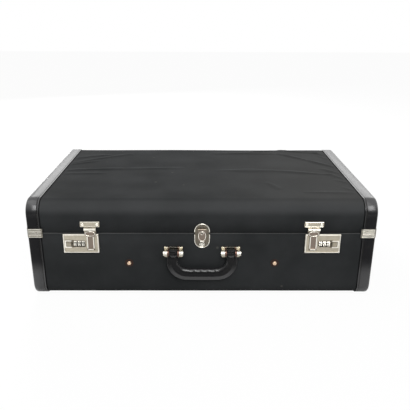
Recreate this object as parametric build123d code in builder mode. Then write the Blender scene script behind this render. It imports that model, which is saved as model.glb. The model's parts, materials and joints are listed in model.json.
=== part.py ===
"""A hard-board suitcase with leather-bound ends, combination latches, a key lock and a swinging handle.

Millimetres. X runs to the right along the case, Y to its back and Z up. The origin is under the middle of
the case, where it lies on the floor. The front carries the handle, the latches and the key lock.
"""

import os
from math import hypot, pi

from build123d import *

os.makedirs("parts", exist_ok=True)

# The closed case, over its leather bindings
case_length = 650.0
case_depth = 405.0
case_height = 195.0
seam_height = 133.0
seam_gap = 0.4
top_edge_radius = 28.0
bottom_edge_radius = 24.0
end_edge_radius = 5.0
least_corner_radius = 4.0

# The layers of its walls, from the outside in
binding_thickness = 1.6
cover_thickness = 0.8
board_thickness = 5.0
lining_thickness = 0.8
binding_width = 24.5
binding_flange = 24.0

# The strip round the mouth of the base, which the lid drops over
strip_thickness = 2.0
strip_rise = 8.0
strip_drop = 15.0
strip_clearance = 0.5

# Clearances
body_clearance = 0.3
pin_fit = 0.06
seat_clearance = 0.05
window_clearance = 0.4

# The closed ends of rivets, studs and posts inside the case
rivet_tail = 1.2
rivet_tail_radius = 3.2

# Clips over the bindings, at the seam
clip_thickness = 0.8
clip_height = 8.6
clip_reach = 27.5
clip_wrap = 12.0
clip_bead_radius = 1.5

# The combination latches: how far the hasps hang from the ends of the case, and the lock plates round them
latch_end_distance = 117.0
lock_plate_reach = 15.0
lock_plate_end_margin = 3.5
lock_plate_drop = 1.7
lock_plate_height = 38.2
lock_plate_face = 2.2
lock_plate_rim = 3.0
lock_plate_rim_width = 2.2
lock_plate_floor = 1.0
lock_plate_chamfer = 0.8
lock_wall = 1.0
lock_depth = 13.0
lock_case_margin = 3.5
lock_case_rise = 4.2
lock_case_height = 30.6

# Their dials
dial_count = 3
dial_reach = 14.0
dial_pitch = 7.4
dial_width = 5.0
dial_radius = 6.6
dial_drop = 21.3
dial_depth = 1.9
dial_slot_side = 0.3
dial_marks = 10
dial_mark_radius = 0.5
axle_radius = 1.5
web_thickness = 1.2
web_inner_gap = 1.1
web_outer_gap = 1.7

# Their slide buttons and bolts
button_width = 12.6
button_height = 14.8
button_thickness = 1.6
button_frame = 1.1
button_frame_width = 2.0
button_grip = 8.4
button_grip_proud = 1.9
button_grooves = 5
button_groove_width = 0.7
button_groove_depth = 0.6
button_travel = 3.5
stem_inset = 2.6
stem_width = 4.0
stem_height = 3.6
stem_depth = 1.2
bolt_radius = 1.2
bolt_drop = 31.1
bolt_depth = 3.2
bolt_tip_reach = 4.2

# Their hasps, which hang from the catch plates on the lid
catch_hinge_rise = 8.0
catch_hinge_proud = 3.6
catch_knuckle_radius = 2.4
catch_hinge_width = 22.0
catch_knuckle_width = 7.0
catch_pin_radius = 1.1
catch_plate_thickness = 1.6
catch_plate_chamfer = 0.4
catch_tongue_thickness = 0.9
catch_bar_width = 36.0
catch_bar_rise = 12.0
catch_bar_height = 10.9
catch_rivet_spread = 13.5
catch_rivet_radius = 1.6
catch_rivet_head = 2.8
catch_rivet_proud = 1.2
catch_rivet_edge = 0.85
hasp_back = 1.3
hasp_thickness = 1.6
hasp_tail_width = 13.4
hasp_tail_drop = 33.8
hasp_tail_corner = 3.0
hasp_border = 1.8
hasp_border_proud = 1.1
hasp_border_start = 0.5
hasp_bulb_width = 21.0
hasp_bulb_height = 11.6
hasp_bulb_drop = 0.7
hasp_side_clearance = 0.8
hasp_lip_height = 2.2
hasp_lip_proud = 2.1
nose_width = 5.0
nose_height = 6.2
nose_depth = 5.9
nose_end_clearance = 0.9
eye_radius = 1.5

# The key lock in the middle of the front
key_plate_width = 29.5
key_plate_drop = 30.1
key_plate_rise = 19.4
key_plate_thickness = 1.4
key_plate_chamfer = 0.5
key_plate_notch = 2.0
key_rivet_drop = 6.0
key_hinge_proud = 3.9
key_knuckle_radius = 2.2
key_hinge_width = 16.0
key_knuckle_width = 6.4
key_hasp_back = 1.8
key_hasp_width = 15.0
key_hasp_drop = 15.5
key_hasp_rise = 5.3
key_nose_drop = 13.5
key_case_width = 26.8
key_case_drop = 28.4
key_case_height = 24.4
key_case_depth = 12.0
plug_drop = 22.7
plug_radius = 3.0
plug_proud = 2.2
plug_depth = 7.8
plug_pin_radius = 1.2
pinion_radius = 2.5
pinion_thickness = 2.4
keyhole_width = 0.9
keyhole_height = 4.0
keyhole_depth = 3.0
key_bolt_tip = 4.2
key_bolt_end = 11.5
key_bolt_thickness = 3.5
rack_start = -2.0
rack_height = 2.0

# The handle, hanging from two brackets
handle_distance = 54.0
pivot_height = 96.0
pivot_proud = 10.0
pivot_radius = 2.4
bracket_plate_width = 35.6
bracket_plate_drop = 12.0
bracket_plate_rise = 10.0
bracket_plate_thickness = 1.6
bracket_plate_corner = 3.0
bracket_bar_height = 2.4
bracket_bar_proud = 1.8
barrel_radius = 5.2
barrel_length = 7.2
ear_length = 5.5
ear_height = 9.0
bracket_rivet_drop = 8.5
bracket_rivet_rise = 3.0
bracket_rivet_radius = 1.6
handle_end_width = 16.0
handle_end_radius = 7.3
collar_length = 3.0
collar_radius = 6.6
grip_thickness = 15.0
grip_edge_radius = 5.5
grip_shoulder_reach = 66.5
grip_shoulder_drop = 12.0
grip_shoulder_radius = 14.0
grip_corner_reach = 64.0
grip_corner_drop = 53.9
grip_corner_radius = 37.0
grip_inner_radius = 18.0
grip_bottom_drop = 54.9
grip_top_drop = 31.5
grip_wave_reach = 26.0
grip_wave_depth = 1.2
grip_waves = 4

# Studs that hold the packing straps, through the front and the back wall
stud_distance = 138.3
stud_height = 71.0
stud_head_radius = 4.0
stud_head_proud = 2.0
stud_head_edge = 1.6
stud_shank_radius = 1.8
stud_tail_radius = 3.6
washer_radius = 8.0
washer_thickness = 1.0
strap_width = 20.0
strap_thickness = 1.4
strap_end_above = 12.0
buckle_bar = 3.0
buckle_overlap = 4.0
buckle_length = 22.0

# The hinges on the back
hinge_end_distance = 135.0
hinge_width = 60.0
hinge_axis_proud = 4.6
hinge_knuckle_radius = 3.0
hinge_pin_radius = 1.4
hinge_leaf_thickness = 1.2
hinge_leaf_height = 27.0
hinge_bridge = 3.5
hinge_knuckle_clearance = 0.3
hinge_rivet_radius = 1.6
hinge_rivet_spread = 20.0
hinge_rivet_inset = 7.0

# The feet on the back, for standing the case on its hinges' side
foot_end_distance = 63.0
foot_heights = (32.0, 104.0)
foot_radius = 9.0
foot_proud = 12.0
foot_edge_radius = 3.0
foot_post_radius = 2.5
foot_tail_radius = 5.0

# Where each layer starts, inwards from the outside of the bindings
cover_inset = binding_thickness
board_inset = cover_inset + cover_thickness
lining_inset = board_inset + board_thickness
room_inset = lining_inset + lining_thickness

# The cloth's front and back faces, and how deep the whole wall is behind them
cover_face = case_depth / 2 - cover_inset
wall_depth = room_inset - cover_inset

# The planes of the seam
base_top = seam_height - seam_gap / 2
lid_bottom = seam_height + seam_gap / 2

# Where the fittings are across the case
latch_distance = case_length / 2 - latch_end_distance
hinge_distance = case_length / 2 - hinge_end_distance
foot_distance = case_length / 2 - foot_end_distance
lock_plate_near = latch_distance - lock_plate_reach
dial_first = latch_distance + dial_reach
dial_last = dial_first + dial_pitch * (dial_count - 1)
web_inner = dial_first - dial_width / 2 - web_inner_gap - web_thickness
web_outer = dial_last + dial_width / 2 + web_outer_gap
stem_near = web_outer + web_thickness + body_clearance + button_travel
button_near = stem_near - stem_inset
lock_plate_far = button_near + button_width + lock_plate_end_margin
lock_case_near = lock_plate_near + lock_case_margin
lock_case_far = lock_plate_far - lock_case_margin
bolt_tip = latch_distance + bolt_tip_reach

# How high the fittings at the seam are
lock_plate_top = seam_height - lock_plate_drop
lock_plate_bottom = lock_plate_top - lock_plate_height
lock_case_bottom = lock_plate_bottom + lock_case_rise
lock_case_top = lock_case_bottom + lock_case_height
dial_height = seam_height - dial_drop
bolt_height = seam_height - bolt_drop
catch_hinge_height = seam_height + catch_hinge_rise
catch_bar_bottom = seam_height + catch_bar_rise
catch_bar_top = catch_bar_bottom + catch_bar_height
hasp_tail_bottom = seam_height - hasp_tail_drop
hasp_bulb_middle = seam_height - hasp_bulb_drop
key_plate_bottom = seam_height - key_plate_drop
key_plate_top = seam_height + key_plate_rise
key_hasp_bottom = seam_height - key_hasp_drop
key_hasp_top = seam_height + key_hasp_rise
key_nose_bottom = seam_height - key_nose_drop
key_case_bottom = seam_height - key_case_drop
key_case_top = key_case_bottom + key_case_height
plug_height = seam_height - plug_drop

# How high the handle's parts are
bracket_plate_bottom = pivot_height - bracket_plate_drop
bracket_plate_top = pivot_height + bracket_plate_rise
bracket_rivet_heights = (pivot_height - bracket_rivet_drop, pivot_height + bracket_rivet_rise)
grip_shoulder_height = pivot_height - grip_shoulder_drop
grip_corner_height = pivot_height - grip_corner_drop
grip_bottom = pivot_height - grip_bottom_drop
grip_top = pivot_height - grip_top_drop

# Other places that follow from the sizes above
hasp_front = hasp_back + hasp_thickness
key_hasp_front = key_hasp_back + hasp_thickness
nose_half = nose_width / 2
strip_top = base_top + strip_rise
strip_bottom = base_top - strip_drop
key_travel = pinion_radius * pi / 2
case_middle = case_height / 2


# Helpers for limits, planes and plain shapes


def span(side, near, far):
    """The limits in X of what lies from near to far, out from the middle, on one side of the case."""
    return min(side * near, side * far), max(side * near, side * far)


def about(side, distance, width):
    """The limits in X of what is this wide, with its middle this far out, on one side of the case."""
    return span(side, distance - width / 2, distance + width / 2)


def proud(inner, outer):
    """The limits in Y of what stands from inner to outer in front of the cloth's front face."""
    return -cover_face - outer, -cover_face - inner


def behind(inner, outer):
    """The limits in Y of what stands from inner to outer out of the cloth's back face."""
    return cover_face + inner, cover_face + outer


def front_plane(inner):
    """The plane this far in front of the cloth's front face. It faces out of the case."""
    return Plane.XZ.offset(cover_face + inner)


def block(x, y, z, mode=Mode.ADD):
    """Adds or cuts the box between three pairs of limits."""
    with Locations(((x[0] + x[1]) / 2, (y[0] + y[1]) / 2, (z[0] + z[1]) / 2)):
        Box(x[1] - x[0], y[1] - y[0], z[1] - z[0], mode=mode)


def rod_along_x(x, y, z, radius, mode=Mode.ADD):
    """Adds or cuts a rod along X, between two limits."""
    with Locations(Location(((x[0] + x[1]) / 2, y, z), (0, 90, 0))):
        Cylinder(radius, x[1] - x[0], mode=mode)


def rod_along_y(x, y, z, radius, mode=Mode.ADD):
    """Adds or cuts a rod along Y, between two limits."""
    with Locations(Location((x, (y[0] + y[1]) / 2, z), (90, 0, 0))):
        Cylinder(radius, y[1] - y[0], mode=mode)


def finish(piece, name):
    """Labels a piece and writes it under its name."""
    piece.part.label = name
    export_step(piece.part, f"parts/{name}.step")


sides = {"left": -1, "right": 1}


# The layers of the case


def case_section(inset):
    """The rounded outline of the case across its length, drawn in from its outside."""
    with BuildSketch(Plane.YZ) as section:
        with Locations((0, case_middle)):
            Rectangle(case_depth - 2 * inset, case_height - 2 * inset)
        fillet(section.vertices().group_by(Axis.Y)[0], max(bottom_edge_radius - inset, least_corner_radius))
        fillet(section.vertices().group_by(Axis.Y)[-1], max(top_edge_radius - inset, least_corner_radius))
    return section.sketch


def case_body(inset):
    """The whole case as one block, drawn in from its outside, with its end edges rounded."""
    with BuildPart() as body:
        extrude(case_section(inset), amount=case_length / 2 - inset, both=True)
        if end_edge_radius - inset > cover_thickness:
            ends = body.faces().sort_by(Axis.X)
            fillet(ends[0].edges() + ends[-1].edges(), end_edge_radius - inset)
    return body.part


def case_layer(outer, inner, keep):
    """The layer of the walls between two insets, in the base (Keep.BOTTOM) or in the lid (Keep.TOP)."""
    with BuildPart() as layer:
        add(case_body(outer))
        add(case_body(inner), mode=Mode.SUBTRACT)
        split(bisect_by=Plane.XY.offset(base_top if keep == Keep.BOTTOM else lid_bottom), keep=keep)
    return layer.part


def cut_lock_windows():
    """Cuts the openings in the front wall behind the latches and the key lock."""
    through = proud(-wall_depth, 0)
    for side in sides.values():
        block(
            span(side, lock_case_near - window_clearance, lock_case_far + window_clearance),
            through,
            (lock_case_bottom - window_clearance, lock_case_top + window_clearance),
            Mode.SUBTRACT,
        )
        notch = nose_width + 2 * window_clearance
        block(about(side, latch_distance, notch), through, (lock_case_top, base_top), Mode.SUBTRACT)
    half = key_case_width / 2 + window_clearance
    bottom = key_case_bottom - window_clearance
    block((-half, half), through, (bottom, key_case_top + window_clearance), Mode.SUBTRACT)
    half = nose_half + window_clearance
    block((-half, half), through, (key_case_top, base_top), Mode.SUBTRACT)


def drill_base():
    """Drills the base's walls for the handle's rivets, the strap studs, the hinges and the feet."""
    front, back = proud(-wall_depth, 0), behind(-wall_depth, 0)
    for side in sides.values():
        for height in bracket_rivet_heights:
            radius = bracket_rivet_radius + seat_clearance
            rod_along_y(side * handle_distance, front, height, radius, Mode.SUBTRACT)
        for wall in (front, back):
            radius = stud_shank_radius + seat_clearance
            rod_along_y(side * stud_distance, wall, stud_height, radius, Mode.SUBTRACT)
        for offset in (-hinge_rivet_spread, hinge_rivet_spread):
            height = base_top - hinge_leaf_height + hinge_rivet_inset
            radius = hinge_rivet_radius + seat_clearance
            rod_along_y(side * hinge_distance + offset, back, height, radius, Mode.SUBTRACT)
        for height in foot_heights:
            radius = foot_post_radius + seat_clearance
            rod_along_y(side * foot_distance, back, height, radius, Mode.SUBTRACT)


def drill_lid():
    """Drills the lid's walls for the catch plates' rivets and the hinges."""
    front, back = proud(-wall_depth, 0), behind(-wall_depth, 0)
    for side in sides.values():
        for offset in (-catch_rivet_spread, catch_rivet_spread):
            height = (catch_bar_bottom + catch_bar_top) / 2
            radius = catch_rivet_radius + seat_clearance
            rod_along_y(side * latch_distance + offset, front, height, radius, Mode.SUBTRACT)
        for offset in (-hinge_rivet_spread, hinge_rivet_spread):
            height = lid_bottom + hinge_leaf_height - hinge_rivet_inset
            radius = hinge_rivet_radius + seat_clearance
            rod_along_y(side * hinge_distance + offset, back, height, radius, Mode.SUBTRACT)
    radius = catch_rivet_radius + seat_clearance
    rod_along_y(0, front, key_plate_top - key_rivet_drop, radius, Mode.SUBTRACT)


layers = {
    "cover": (cover_inset, board_inset),
    "shell": (board_inset, lining_inset),
    "lining": (lining_inset, room_inset),
}

for layer_name, (outer, inner) in layers.items():
    base_walls = case_layer(outer, inner, Keep.BOTTOM)
    with BuildPart() as base_layer:
        add(base_walls)
        cut_lock_windows()
        drill_base()
    finish(base_layer, f"base_{layer_name}")

    lid_walls = case_layer(outer, inner, Keep.TOP)
    with BuildPart() as lid_layer:
        add(lid_walls)
        drill_lid()
    finish(lid_layer, f"lid_{layer_name}")

# The strip round the mouth sits on the base's lining and stands clear of the lid's
strip_outer = room_inset + strip_clearance
strip_inner = strip_outer + strip_thickness
with BuildPart() as base_strip:
    add(case_body(room_inset))
    block((-case_length, case_length), (-case_depth, case_depth), (strip_bottom, base_top), Mode.INTERSECT)
    rise = case_length / 2 - strip_outer
    depth = case_depth / 2 - strip_outer
    block((-rise, rise), (-depth, depth), (base_top, strip_top))
    rise = case_length / 2 - strip_inner
    depth = case_depth / 2 - strip_inner
    block((-rise, rise), (-depth, depth), (strip_bottom, strip_top), Mode.SUBTRACT)
    cut_depth = proud(-lock_depth - window_clearance, 0)
    for side in sides.values():
        block(
            span(side, lock_case_near - window_clearance, lock_case_far + window_clearance),
            cut_depth,
            (strip_bottom, lock_case_top + window_clearance),
            Mode.SUBTRACT,
        )
    half = key_case_width / 2 + window_clearance
    block((-half, half), cut_depth, (strip_bottom, key_case_top + window_clearance), Mode.SUBTRACT)
finish(base_strip, "base_mouth_strip")


# The leather bindings and the clips over them


def binding(side, keep):
    """The leather round one end of the base or of the lid, folded over onto the end."""
    leather = case_layer(0, binding_thickness, keep)
    with BuildPart() as strip:
        add(leather)
        band = span(side, case_length / 2 - binding_width, case_length)
        block(band, (-case_depth, case_depth), (0, case_height), Mode.INTERSECT)
        extrude(case_section(binding_flange), amount=side * case_length, mode=Mode.SUBTRACT)
    return strip


def clips(z):
    """Four metal clips round the bindings' edges, at the front and the back of both ends."""
    leather = case_body(0)
    metal = case_body(-clip_thickness)
    with BuildPart() as four:
        add(metal)
        add(leather, mode=Mode.SUBTRACT)
        block((-case_length, case_length), (-case_depth, case_depth), z, Mode.INTERSECT)
        reach = case_length / 2 - clip_reach
        block((-reach, reach), (-case_depth, case_depth), z, Mode.SUBTRACT)
        wrap = case_depth / 2 - clip_wrap
        block((-case_length, case_length), (-wrap, wrap), z, Mode.SUBTRACT)
        for x in (-reach, reach):
            for y in (-cover_face - clip_bead_radius, cover_face + clip_bead_radius):
                with Locations((x, y, (z[0] + z[1]) / 2)):
                    Cylinder(clip_bead_radius, z[1] - z[0])
    return four


for side_name, side in sides.items():
    finish(binding(side, Keep.BOTTOM), f"base_binding_{side_name}")
    finish(binding(side, Keep.TOP), f"lid_binding_{side_name}")
finish(clips((base_top - clip_height, base_top)), "base_clips")
finish(clips((lid_bottom, lid_bottom + clip_height)), "lid_clips")


# The combination latches on the front of the base


def hasp_path_bottom(hinge_height, hinge_proud, deepest, lowest):
    """How low a hasp's nose comes as the hasp swings out, with room to spare."""
    return hinge_height - hypot(hinge_proud + deepest, hinge_height - lowest) - body_clearance


nose_path_bottom = hasp_path_bottom(catch_hinge_height, catch_hinge_proud, nose_depth, hasp_tail_bottom)
dial_distances = [dial_first + dial_pitch * number for number in range(dial_count)]
dial_slot = dial_width + 2 * dial_slot_side
dial_slot_half = (dial_radius**2 - dial_depth**2) ** 0.5 + body_clearance
button_bottom = dial_height - button_height / 2
button_top = dial_height + button_height / 2
button_front = lock_plate_floor + body_clearance + button_thickness


def lock_plate(side):
    """The plate with a raised rim, a trough for the hasp, slots for dials and a pocket for the button."""
    with BuildPart() as plate:
        x = span(side, lock_plate_near, lock_plate_far)
        block(x, proud(0, lock_plate_rim), (lock_plate_bottom, lock_plate_top))
        chamfer(plate.faces().sort_by(Axis.Y)[0].edges(), lock_plate_chamfer)
        rim = lock_plate_rim_width
        x = span(side, lock_plate_near + rim, lock_plate_far - rim)
        z = (lock_plate_bottom + rim, lock_plate_top - rim)
        block(x, proud(lock_plate_face, lock_plate_rim), z, Mode.SUBTRACT)
        trough = about(side, latch_distance, hasp_tail_width + 2 * hasp_side_clearance)
        bottom = hasp_tail_bottom - hasp_side_clearance
        block(trough, proud(lock_plate_floor, lock_plate_rim), (bottom, lock_plate_top), Mode.SUBTRACT)
        with BuildSketch(front_plane(lock_plate_floor)):
            with Locations((side * latch_distance, hasp_bulb_middle)):
                half = hasp_bulb_width / 2 + hasp_side_clearance
                Ellipse(half, hasp_bulb_height / 2 + hasp_side_clearance)
        extrude(amount=lock_plate_rim, mode=Mode.SUBTRACT)
        slot = about(side, latch_distance, nose_width + 2 * body_clearance)
        block(slot, proud(0, lock_plate_rim), (nose_path_bottom, lock_plate_top), Mode.SUBTRACT)
        for distance in dial_distances:
            z = (dial_height - dial_slot_half, dial_height + dial_slot_half)
            block(about(side, distance, dial_slot), proud(0, lock_plate_rim), z, Mode.SUBTRACT)
        near = button_near - button_travel
        far = button_near + button_width
        x = span(side, near - body_clearance, far + body_clearance)
        z = (button_bottom - body_clearance, button_top + body_clearance)
        block(x, proud(lock_plate_floor, lock_plate_rim), z, Mode.SUBTRACT)
        x = span(side, stem_near - button_travel - body_clearance, stem_near + stem_width + body_clearance)
        half = stem_height / 2 + body_clearance
        block(x, proud(0, lock_plate_rim), (dial_height - half, dial_height + half), Mode.SUBTRACT)
    return plate


def lock_case(side):
    """The box behind a lock plate, with two webs that carry the dials' axle and guide the bolt."""
    with BuildPart() as box:
        z = (lock_case_bottom, lock_case_top)
        block(span(side, lock_case_near, lock_case_far), proud(-lock_depth, 0), z)
        x = span(side, lock_case_near + lock_wall, lock_case_far - lock_wall)
        z = (lock_case_bottom + lock_wall, lock_case_top - lock_wall)
        block(x, proud(lock_wall - lock_depth, 0), z, Mode.SUBTRACT)
        for near in (web_inner, web_outer):
            z = (lock_case_bottom + lock_wall, lock_case_top - lock_wall)
            block(span(side, near, near + web_thickness), proud(-lock_depth, 0), z)
        x = span(side, web_inner, web_outer + web_thickness)
        y = -cover_face + dial_depth
        rod_along_x(x, y, dial_height, axle_radius + seat_clearance, Mode.SUBTRACT)
        y = -cover_face + bolt_depth
        rod_along_x(x, y, bolt_height, bolt_radius + body_clearance, Mode.SUBTRACT)
        slot = about(side, latch_distance, nose_width + 2 * body_clearance)
        deep = proud(-nose_depth - nose_end_clearance, 0)
        block(slot, deep, (lock_case_top - lock_wall, lock_case_top), Mode.SUBTRACT)
    return box


def dial(side, distance):
    """One dial: a wheel with ten marks round it, turning on the axle."""
    with BuildPart() as wheel:
        x = about(side, distance, dial_width)
        y = -cover_face + dial_depth
        rod_along_x(x, y, dial_height, dial_radius)
        rod_along_x(x, y, dial_height, axle_radius + pin_fit, Mode.SUBTRACT)
        middle = Location(((x[0] + x[1]) / 2, y, dial_height), (0, 90, 0))
        with Locations(middle):
            with PolarLocations(dial_radius, dial_marks, start_angle=180 / dial_marks):
                Cylinder(dial_mark_radius, dial_width, mode=Mode.SUBTRACT)
    return wheel


def slide_button(side):
    """The button beside the dials: a plate in its pocket, a raised frame and a grooved grip."""
    with BuildPart() as button:
        x = span(side, button_near, button_near + button_width)
        back = lock_plate_floor + body_clearance
        block(x, proud(back, button_front + button_frame), (button_bottom, button_top))
        near = button_near
        far = button_near + button_width - button_frame_width
        z = (button_bottom + button_frame_width, button_top - button_frame_width)
        block(span(side, near, far), proud(button_front, button_front + button_frame), z, Mode.SUBTRACT)
        middle = button_near + (button_width - button_frame_width) / 2
        z = (dial_height - button_grip / 2, dial_height + button_grip / 2)
        block(about(side, middle, button_grip), proud(button_front, button_front + button_grip_proud), z)
        pitch = button_grip / button_grooves
        for number in range(button_grooves):
            height = z[0] + pitch * (number + 0.5)
            groove = (height - button_groove_width / 2, height + button_groove_width / 2)
            face = button_front + button_grip_proud
            x = about(side, middle, button_grip)
            block(x, proud(face - button_groove_depth, face), groove, Mode.SUBTRACT)
        x = span(side, stem_near, stem_near + stem_width)
        z = (dial_height - stem_height / 2, dial_height + stem_height / 2)
        block(x, proud(-stem_depth, back), z)
    return button


def slide_bolt(side):
    """The bolt behind the plate, which the button's stem carries under the dials to the hasp's eye."""
    with BuildPart() as bolt:
        x = span(side, stem_near, stem_near + stem_width)
        z = (bolt_height - bolt_radius, dial_height + stem_height / 2)
        block(x, proud(-bolt_depth - bolt_radius, -stem_depth), z)
        x = span(side, bolt_tip, stem_near + stem_width)
        rod_along_x(x, -cover_face + bolt_depth, bolt_height, bolt_radius)
    return bolt


for side_name, side in sides.items():
    finish(lock_plate(side), f"lock_plate_{side_name}")
    finish(lock_case(side), f"lock_case_{side_name}")
    for number, distance in enumerate(dial_distances, start=1):
        finish(dial(side, distance), f"dial_{side_name}_{number}")
    with BuildPart() as axle:
        x = span(side, web_inner, web_outer + web_thickness)
        rod_along_x(x, -cover_face + dial_depth, dial_height, axle_radius)
    finish(axle, f"dial_axle_{side_name}")
    finish(slide_button(side), f"slide_button_{side_name}")
    finish(slide_bolt(side), f"slide_bolt_{side_name}")


# The catch plates and the hasps on the lid


def catch_plate(side):
    """The plate on the lid that a hasp hangs from: a bar with rivets, a tongue and two knuckles."""
    middle = side * latch_distance
    y = -cover_face - catch_hinge_proud
    with BuildPart() as plate:
        x = about(side, latch_distance, catch_bar_width)
        block(x, proud(0, catch_plate_thickness), (catch_bar_bottom, catch_bar_top))
        chamfer(plate.faces().sort_by(Axis.Y)[0].edges(), catch_plate_chamfer)
        x = about(side, latch_distance, catch_hinge_width)
        block(x, proud(0, catch_tongue_thickness), (lid_bottom, catch_bar_bottom))
        for x in outer_knuckles(middle, catch_hinge_width, catch_knuckle_width):
            z = (catch_hinge_height - catch_knuckle_radius, catch_hinge_height + catch_knuckle_radius)
            block(x, proud(0, catch_hinge_proud), z)
            rod_along_x(x, y, catch_hinge_height, catch_knuckle_radius)
            rod_along_x(x, y, catch_hinge_height, catch_pin_radius + seat_clearance, Mode.SUBTRACT)
        for offset in (-catch_rivet_spread, catch_rivet_spread):
            height = (catch_bar_bottom + catch_bar_top) / 2
            radius = catch_rivet_radius + seat_clearance
            rod_along_y(middle + offset, proud(0, catch_plate_thickness), height, radius, Mode.SUBTRACT)
    return plate


def hasp(side):
    """The latch's flap: a centre knuckle, rounded shoulders, a bordered tail and a nose with an eye."""
    middle = side * latch_distance
    y = -cover_face - catch_hinge_proud
    with BuildPart() as flap:
        with BuildSketch(front_plane(hasp_back)):
            with Locations((middle, (hasp_tail_bottom + hasp_bulb_middle) / 2)):
                Rectangle(hasp_tail_width, hasp_bulb_middle - hasp_tail_bottom)
            with Locations((middle, hasp_bulb_middle)):
                Ellipse(hasp_bulb_width / 2, hasp_bulb_height / 2)
        extrude(amount=hasp_thickness)
        bottom = flap.edges().filter_by(Axis.Y).sort_by(Axis.Z)[:2]
        fillet(bottom, hasp_tail_corner)
        half = hasp_tail_width / 2
        tail_top = hasp_bulb_middle - hasp_bulb_height / 2
        z = (hasp_tail_bottom + hasp_tail_corner + hasp_border_start, tail_top)
        inner = half - hasp_border
        for x in ((middle - half, middle - inner), (middle + inner, middle + half)):
            block(x, proud(hasp_front, hasp_front + hasp_border_proud), z)
        inside = (middle - inner, middle + inner)
        z = (hasp_tail_bottom + hasp_tail_corner - hasp_lip_height, hasp_tail_bottom + hasp_tail_corner)
        block(inside, proud(hasp_back, hasp_front + hasp_lip_proud), z)
        neck = about(side, latch_distance, catch_knuckle_width)
        block(neck, proud(hasp_back, hasp_front), (hasp_bulb_middle, catch_hinge_height))
        rod_along_x(neck, y, catch_hinge_height, catch_knuckle_radius)
        rod_along_x(neck, y, catch_hinge_height, catch_pin_radius + pin_fit, Mode.SUBTRACT)
        add_nose(middle, hasp_tail_bottom, hasp_back)
    return flap


def add_nose(middle, bottom, back):
    """Adds the nose behind a hasp, with the eye that a bolt slides into."""
    x = (middle - nose_half, middle + nose_half)
    block(x, proud(-nose_depth, back), (bottom, bottom + nose_height))
    height = bottom + (bolt_height - hasp_tail_bottom)
    rod_along_x(x, -cover_face + bolt_depth, height, eye_radius, Mode.SUBTRACT)


def outer_knuckles(middle, width, centre_width):
    """The limits in X of a small hinge's two outer knuckles, either side of its centre one."""
    gap = centre_width / 2 + body_clearance
    return (middle - width / 2, middle - gap), (middle + gap, middle + width / 2)


for side_name, side in sides.items():
    finish(catch_plate(side), f"catch_plate_{side_name}")
    finish(hasp(side), f"hasp_{side_name}")

with BuildPart() as catch_rivets:
    for side in sides.values():
        for offset in (-catch_rivet_spread, catch_rivet_spread):
            x = side * latch_distance + offset
            height = (catch_bar_bottom + catch_bar_top) / 2
            rod_along_y(x, proud(-wall_depth, catch_plate_thickness), height, catch_rivet_radius)
            head = proud(catch_plate_thickness, catch_plate_thickness + catch_rivet_proud)
            rod_along_y(x, head, height, catch_rivet_head)
    heads = catch_rivets.faces().group_by(Axis.Y)[0]
    fillet(heads.edges(), catch_rivet_edge)
finish(catch_rivets, "catch_rivets")


# The key lock: a plate, a case, a turning plug and a bolt on the base, a plate and a hasp on the lid


def key_plate(z):
    """The part between two heights of the lock's long rounded plate, with a notch at each side."""
    height = key_plate_top - key_plate_bottom
    with BuildPart() as plate:
        with BuildSketch(front_plane(0)):
            with Locations((0, (key_plate_top + key_plate_bottom) / 2)):
                SlotOverall(height, key_plate_width, rotation=90)
        extrude(amount=key_plate_thickness)
        chamfer(plate.faces().sort_by(Axis.Y)[0].edges(), key_plate_chamfer)
        for side in sides.values():
            x = side * key_plate_width / 2
            rod_along_y(x, proud(0, key_plate_thickness), seam_height, key_plate_notch, Mode.SUBTRACT)
        block((-key_plate_width, key_plate_width), proud(0, key_plate_thickness), z, Mode.INTERSECT)
    return plate.part


key_nose_slot_bottom = hasp_path_bottom(catch_hinge_height, key_hinge_proud, nose_depth, key_nose_bottom)
key_bolt_height = key_nose_bottom + bolt_height - hasp_tail_bottom
rack_bottom = plug_height + pinion_radius + body_clearance
pinion_depth = plug_depth + pinion_thickness
ledge_bottom = rack_bottom + rack_height + body_clearance

lower_plate = key_plate((key_plate_bottom, base_top))
with BuildPart() as key_lock_plate:
    add(lower_plate)
    half = nose_half + body_clearance
    block((-half, half), proud(0, key_plate_thickness), (key_nose_slot_bottom, base_top), Mode.SUBTRACT)
    rod_along_y(0, proud(0, key_plate_thickness), plug_height, plug_radius + pin_fit, Mode.SUBTRACT)
finish(key_lock_plate, "key_lock_plate")

with BuildPart() as key_lock_case:
    half = key_case_width / 2
    block((-half, half), proud(-key_case_depth, 0), (key_case_bottom, key_case_top))
    half = key_case_width / 2 - lock_wall
    z = (key_case_bottom + lock_wall, key_case_top - lock_wall)
    block((-half, half), proud(lock_wall - key_case_depth, 0), z, Mode.SUBTRACT)
    half = nose_half + body_clearance
    deep = proud(-nose_depth - nose_end_clearance, 0)
    block((-half, half), deep, (key_case_top - lock_wall, key_case_top), Mode.SUBTRACT)
    rod_along_y(0, proud(-key_case_depth, 0), plug_height, plug_pin_radius + pin_fit, Mode.SUBTRACT)
    ledge_end = key_bolt_end - key_bolt_thickness - key_travel - body_clearance
    ledge = (lock_wall - key_case_width / 2, ledge_end)
    block(ledge, proud(-key_case_depth, -plug_depth), (ledge_bottom, ledge_bottom + lock_wall))
finish(key_lock_case, "key_lock_case")

with BuildPart() as key_plug:
    rod_along_y(0, proud(-plug_depth, plug_proud), plug_height, plug_radius)
    rod_along_y(0, proud(-pinion_depth, -plug_depth), plug_height, pinion_radius)
    rod_along_y(0, proud(-key_case_depth, -pinion_depth), plug_height, plug_pin_radius)
    half = keyhole_width / 2
    z = (plug_height - keyhole_height / 2, plug_height + keyhole_height / 2)
    block((-half, half), proud(plug_proud - keyhole_depth, plug_proud), z, Mode.SUBTRACT)
finish(key_plug, "key_plug")

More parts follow.
